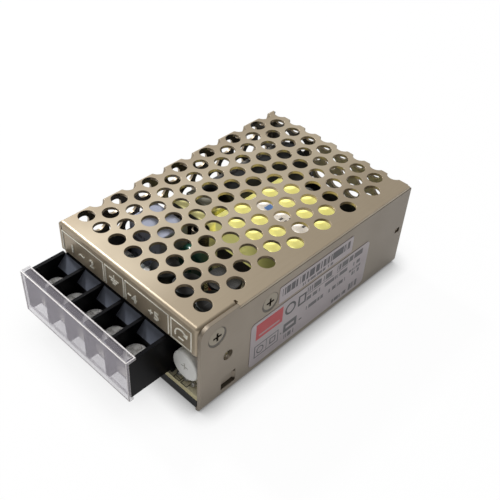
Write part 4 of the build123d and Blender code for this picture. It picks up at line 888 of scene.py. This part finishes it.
# Windings: turns of wire in place of the solid rings
turns = turns_tree()
ring_low, ring_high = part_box("line_choke_windings")
core_low, core_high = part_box("line_choke_core")
ring_y = (ring_low.y + ring_high.y) / 2
leg_inset = 1.4 * mm
choke_wire = 0.36 * mm
choke_places = []
for leg_x in (core_low.x + leg_inset, core_high.x - leg_inset):
    choke_places += stacked(leg_x, ring_y, ring_low.z, ring_high.z, 10, choke_wire)
turn_width = 5.8 * mm - 2 * choke_wire
line_choke_turns = turns.grow(
    "line_choke_turns",
    choke_places,
    {
        "Width": turn_width,
        "Length": turn_width + 1.1 * mm,
        "Corner": 1.5 * mm,
        "Wire radius": choke_wire,
        "Material": dark_wire,
    },
)
finished(line_choke_turns, None, "power_supply", "copper", "line_choke_windings")

coil_low, coil_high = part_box("output_choke_coil")
coil_middle = (coil_low + coil_high) / 2
coil_wire = 0.42 * mm
coil_width = coil_high.x - coil_low.x - 2 * coil_wire
output_choke_turns = turns.grow(
    "output_choke_turns",
    stacked(coil_middle.x, coil_middle.y, coil_low.z, coil_high.z, 8, coil_wire),
    {
        "Width": coil_width,
        "Length": coil_width,
        "Corner": coil_width / 2,
        "Wire radius": coil_wire,
        "Material": copper_wire,
    },
)
finished(output_choke_turns, None, "power_supply", "copper", "output_choke_coil")

# Solder joints on the board beside the trimmer, the labelled side and the terminals
board_low, board_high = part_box("circuit_board")
joint_height = 0.5 * mm
joint_middle = board_high.z + joint_height / 2 + 0.02 * mm
joint_rows = (  # first place from the case's left front corner, step to the next (mm), how many
    (39.5, 2.1, 2.4, 0.0, 5),
    (47.6, 31.0, 0.0, 2.3, 9),
    (21.0, 30.4, 2.2, 0.0, 6),
)
joint_places = [
    (case_left + (x + step_x * step) * mm, case_front + (y + step_y * step) * mm, joint_middle)
    for x, y, step_x, step_y, count in joint_rows
    for step in range(count)
]
solder_joints = joints_tree().grow(
    "solder_joints",
    joint_places,
    {
        "Pad radius": 0.85 * mm,
        "Pad height": 0.12 * mm,
        "Cone radius": 0.6 * mm,
        "Cone height": joint_height,
        "Material": bright_metal("solder", paint(214, 212, 206), 0.28, (900, 900, 900), 0.9),
    },
)
finished(solder_joints, None, "power_supply", "screw_steel")


def round_bar(places, radius, cyclic=False):
    """A round bar along a line of places."""
    curve = bpy.data.curves.new("bar", "CURVE")
    curve.dimensions = "3D"
    curve.bevel_depth = radius
    curve.bevel_resolution = 2
    curve.use_fill_caps = True
    line = curve.splines.new("POLY")
    line.points.add(len(places) - 1)
    for point, place in zip(line.points, places):
        point.co = (*place, 1.0)
    line.use_cyclic_u = cyclic
    return plain_mesh(linked("bar", curve), "bar")


def raised_line(points, cyclic=False):
    """A half-round ridge pressed out of the front plate, along points (x, z) in millimetres."""
    ridge_width = 0.42 * mm
    places = [(case_left + x * mm, case_front, z * mm) for x, z in points]
    return round_bar(places, ridge_width / 2, cyclic)


def raised_number(text, x, z, height):
    """A plain numeral that stands proud of the front plate, placed and sized in millimetres."""
    size_for_height = 1.42
    letters = bpy.data.curves.new("numeral", "FONT")
    letters.body = text
    letters.size = height * mm * size_for_height
    letters.align_x = "CENTER"
    letters.extrude = 0.10 * mm
    letters.bevel_depth = 0.04 * mm
    letters.bevel_resolution = 1
    letters.offset = 0.05 * mm
    piece = plain_mesh(linked("numeral", letters), "numeral")
    upright = Matrix.Rotation(math.radians(90), 4, "X")
    place = Matrix.Translation((case_left + x * mm, case_front - 0.06 * mm, z * mm))
    piece.data.transform(place @ upright)
    return piece


# Pressed marks of the front plate: outlined fields, numerals, plain signs and the turn arrow
field_top = 25.75
fields = (  # start, end, foot, closed along the foot
    (1.2, 17.2, 19.75, False),
    (18.0, 24.7, 19.75, False),
    (25.5, 40.5, 19.75, False),
    (41.4, 48.0, 19.65, True),
)
numerals = (  # numeral, place, foot, height
    ("1", 5.0, 21.0, 2.3),
    ("2", 12.6, 21.0, 2.3),
    ("4", 28.6, 20.8, 2.5),
    ("5", 36.4, 20.8, 2.5),
)
earth_x = 21.2
arc_x, arc_z, arc_radius = 44.7, 22.1, 2.0
arc_turns = [math.radians(angle) for angle in range(200, 19, -15)]
arc = [(arc_x + arc_radius * math.cos(a), arc_z + arc_radius * math.sin(a)) for a in arc_turns]
tip_x, tip_z = arc[-1]
signs = (
    [(26.3, 22.1), (27.5, 22.1)],  # minus
    [(33.7, 22.1), (35.1, 22.1)],  # plus
    [(34.4, 21.4), (34.4, 22.8)],
    [(7.6, 21.8), (8.1, 22.3), (8.7, 22.1), (9.3, 21.9), (9.8, 22.4)],  # wave
    [(earth_x - 1.7, 22.9), (earth_x + 1.7, 22.9)],  # earth
    [(earth_x - 1.15, 22.2), (earth_x + 1.15, 22.2)],
    [(earth_x - 0.55, 21.5), (earth_x + 0.55, 21.5)],
    [(earth_x, 22.9), (earth_x, 24.3)],
    arc,
    [(tip_x - 1.0, tip_z + 0.25), (tip_x, tip_z), (tip_x + 0.05, tip_z + 1.05)],  # arrow head
    [(43.9, 21.3), (45.5, 21.3)],
)
marks = []
for start, end, foot, cyclic in fields:
    corners = [(start, foot), (start, field_top), (end, field_top), (end, foot)]
    marks.append(raised_line(corners, cyclic))
marks += [raised_number(*numeral) for numeral in numerals]
marks += [raised_line(sign) for sign in signs]
# Painted highlight: the ridges pressed out of the plate's steel are finished near-white, so that
# they look lit.
bright_ridge = bright_metal("bright_ridge", paint(255, 252, 238), 0.36, (2600, 2600, 2600), 0.2)
finished(joined("plate_marks", marks), bright_ridge, "power_supply", "cover_steel")

# Rating sticker: a thin sheet with rounded corners, a touch higher than its plain solid
rating_low, rating_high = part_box("rating_label")
foot = rating_low.z + 0.7 * mm
top = foot + 15.3 * mm
corner = 1.3 * mm
sticker_outline = []
for middle_y, middle_z, turn_from in (
    (rating_high.y - corner, top - corner, 0),
    (rating_low.y + corner, top - corner, 90),
    (rating_low.y + corner, foot + corner, 180),
    (rating_high.y - corner, foot + corner, 270),
):
    for angle in range(turn_from, turn_from + 91, 15):
        a = math.radians(angle)
        sticker_outline.append((middle_y + corner * math.cos(a), middle_z + corner * math.sin(a)))
sticker = bmesh.new()
outer_face = [(rating_high.x, y, z) for y, z in sticker_outline]
inner_face = [(case_right, y, z) for y, z in sticker_outline]
add_prism(sticker, outer_face, inner_face)
rating_sticker = closed("rating_sticker", sticker)
rating_paper = rating_print("rating_print")
finished(rating_sticker, rating_paper, "power_supply", "paper_label", "rating_label")

# Tinned tongues that turn down over the front of each cell's floor
contact_low, contact_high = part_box("terminal_contact_1")
tongue_top = contact_high.z - 0.05 * mm
tongue_foot = tongue_top - 3.1 * mm
tongue_half = 3.2 * mm
tongue_chamfer = 0.5 * mm
tongue_back = contact_low.y - 0.15 * mm
tongue_front = tongue_back - 0.25 * mm
tongue_outline = (
    (-tongue_half, tongue_top),
    (tongue_half, tongue_top),
    (tongue_half, tongue_foot + tongue_chamfer),
    (tongue_half - tongue_chamfer, tongue_foot),
    (-tongue_half + tongue_chamfer, tongue_foot),
    (-tongue_half, tongue_foot + tongue_chamfer),
)
tongues = bmesh.new()
for middle in pole_places:
    near = [(middle + x, tongue_front, z) for x, z in tongue_outline]
    far = [(middle + x, tongue_back, z) for x, z in tongue_outline]
    add_prism(tongues, near, far)
finished(closed("contact_tongues", tongues), tin_plate, "power_supply", "tinned_brass")


def upright_strip(name, route, foot, tops, thickness):
    """A strip on edge along a route of (x, y), with its own top at each place of the route."""
    strip = bmesh.new()
    rings = []
    for number, (x, y) in enumerate(route):
        before = Vector(route[max(number - 1, 0)])
        after = Vector(route[min(number + 1, len(route) - 1)])
        ahead = (after - before).normalized()
        side = Vector((-ahead.y, ahead.x)) * thickness / 2
        top = tops[number]
        corners = ((side, foot), (side, top), (-side, top), (-side, foot))
        rings.append([strip.verts.new((x + aside.x, y + aside.y, z)) for aside, z in corners])
    for first, second in zip(rings, rings[1:]):
        for number, after in enumerate((1, 2, 3, 0)):
            strip.faces.new((first[number], second[number], second[after], first[after]))
    strip.faces.new(rings[0])
    strip.faces.new(rings[-1][::-1])
    return closed(name, strip)


# Insulating film that stands inside the left and back walls, folded round their corner.
# It takes the same finish as the film under the board.
film_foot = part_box("insulation_film")[1].z
film_x = board_low.x - 0.1 * mm
film_y = board_high.y + 0.1 * mm
fold, fold_middle = 1.2 * mm, 0.35 * mm
film_route = [
    (film_x, block_high.y + 1 * mm),
    (film_x, film_y - fold),
    (film_x + fold_middle, film_y - fold_middle),
    (film_x + fold, film_y),
    (board_high.x - 1 * mm, film_y),
]
left_top, back_top = 15.4 * mm, 12.8 * mm
film_tops = [left_top, left_top, left_top, back_top, back_top]
standing_film = upright_strip("standing_film", film_route, film_foot, film_tops, 0.12 * mm)
plain_film = bpy.data.materials["black_film"]
finished(standing_film, plain_film, "power_supply", "black_film")

# Rounded edges of the clear cover as near-white bars: painted highlights
clear_low, clear_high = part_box("terminal_cover")
edge_radius = 0.17 * mm
foot_radius = 0.6 * edge_radius
low = clear_low + Vector((1, 1, 1)) * edge_radius
high = clear_high - Vector((1, 1, 1)) * edge_radius
edge_lines = (
    ((low.x, low.y, high.z), (high.x, low.y, high.z)),
    ((low.x, high.y, high.z), (high.x, high.y, high.z)),
    ((high.x, low.y, low.z), (high.x, low.y, high.z)),
    ((high.x, low.y, high.z), (high.x, high.y, high.z)),
    ((low.x, low.y, low.z), (low.x, low.y, high.z)),
)
edge_bars = [round_bar(line, edge_radius) for line in edge_lines]
edge_bars.append(round_bar(((low.x, low.y, low.z), (high.x, low.y, low.z)), foot_radius))
edge_highlight_plastic = moulded("clear_edge", paint(236, 232, 230), 0.26)
finished(joined("cover_edges", edge_bars), edge_highlight_plastic, "clear_cover", "clear_plastic")

# Camera at the photograph's angle
camera = linked("camera", bpy.data.cameras.new("camera"))
camera_place = Vector((0.105282, -0.115597, 0.151311))
camera_forward = Vector((-0.49318, 0.55947, -0.66616)).normalized()
camera_up = Vector((-0.49139, 0.45273, 0.74402))
camera_right = camera_forward.cross(camera_up).normalized()
camera_up = camera_right.cross(camera_forward)
camera_turn = Matrix((camera_right, camera_up, -camera_forward)).transposed()
camera.matrix_world = Matrix.Translation(camera_place) @ camera_turn.to_4x4()
camera.data.lens = 55.581
camera.data.sensor_width = 36.0
camera.data.clip_start = 0.01
bpy.context.scene.camera = camera


def backdrop(name, lit_colour, share, reach):
    """White to the eye and in reflections, with a soft shadow that is faint further out."""
    sheet = Coat(name)
    close, wide = (
        sheet.node("ShaderNodeAmbientOcclusion", {"samples": 12}, {"Distance": distance}, "AO")
        for distance in (reach, 2 * reach)
    )
    shadow = close * wide.power(0.22)
    glow = sheet.node("ShaderNodeEmission", {}, {"Color": white, "Strength": shadow})
    matt = sheet.node("ShaderNodeBsdfDiffuse", {}, {"Color": lit_colour})
    path = sheet.node("ShaderNodeLightPath", {}, {}).socket.node.outputs
    seen = Wire(sheet, path["Is Camera Ray"])
    for kind in ("Is Transmission Ray", "Is Glossy Ray"):
        seen = seen.largest(Wire(sheet, path[kind]))
    both = sheet.node("ShaderNodeMixShader", {}, {0: seen * share, 1: matt, 2: glow})
    sheet.fill(sheet.out.inputs[0], both)
    return sheet.material


def lamp(name, place, size, power):
    """A soft lamp that points at the middle of the object."""
    light = bpy.data.lights.new(name, "AREA")
    light.size = size
    light.energy = power
    holder = linked(name, light)
    holder.location = place
    aim = Vector((0.0, 0.0, 0.012)) - Vector(place)
    holder.rotation_euler = aim.to_track_quat("-Z", "Y").to_euler()


# Floor: a pale sheet under the object, far wider than the view
half, below = 1.5, -0.05 * mm
floor_corners = [(x * half, y * half, below) for x, y in ((-1, -1), (1, -1), (1, 1), (-1, 1))]
floor_mesh = bpy.data.meshes.new("floor")
floor_mesh.from_pydata(floor_corners, [], [(0, 1, 2, 3)])
floor_mesh.materials.append(backdrop("backdrop", (0.86, 0.86, 0.86, 1.0), 0.975, 5.5 * mm))
floor = linked("floor", floor_mesh)

# Light: a small lamp, a wide one, and a world that is white to the eye and lights faintly
lamp("key_lamp", (-0.592, 0.03, 0.536), 0.08, 7.2)
lamp("soft_lamp", (-0.35, -0.25, 0.75), 0.45, 1.6)
world = bpy.data.worlds.new("studio")
bpy.context.scene.world = world
world.use_nodes = True
sky = Wiring(world.node_tree)
sky_light = 0.22
background = world.node_tree.nodes["Background"].inputs
background["Color"].default_value = white
seen_sky = sky.node("ShaderNodeLightPath", {}, {}, "Is Camera Ray")
sky.fill(background["Strength"], seen_sky * (1.0 - sky_light) + sky_light)
bpy.context.scene.view_settings.view_transform = "Standard"
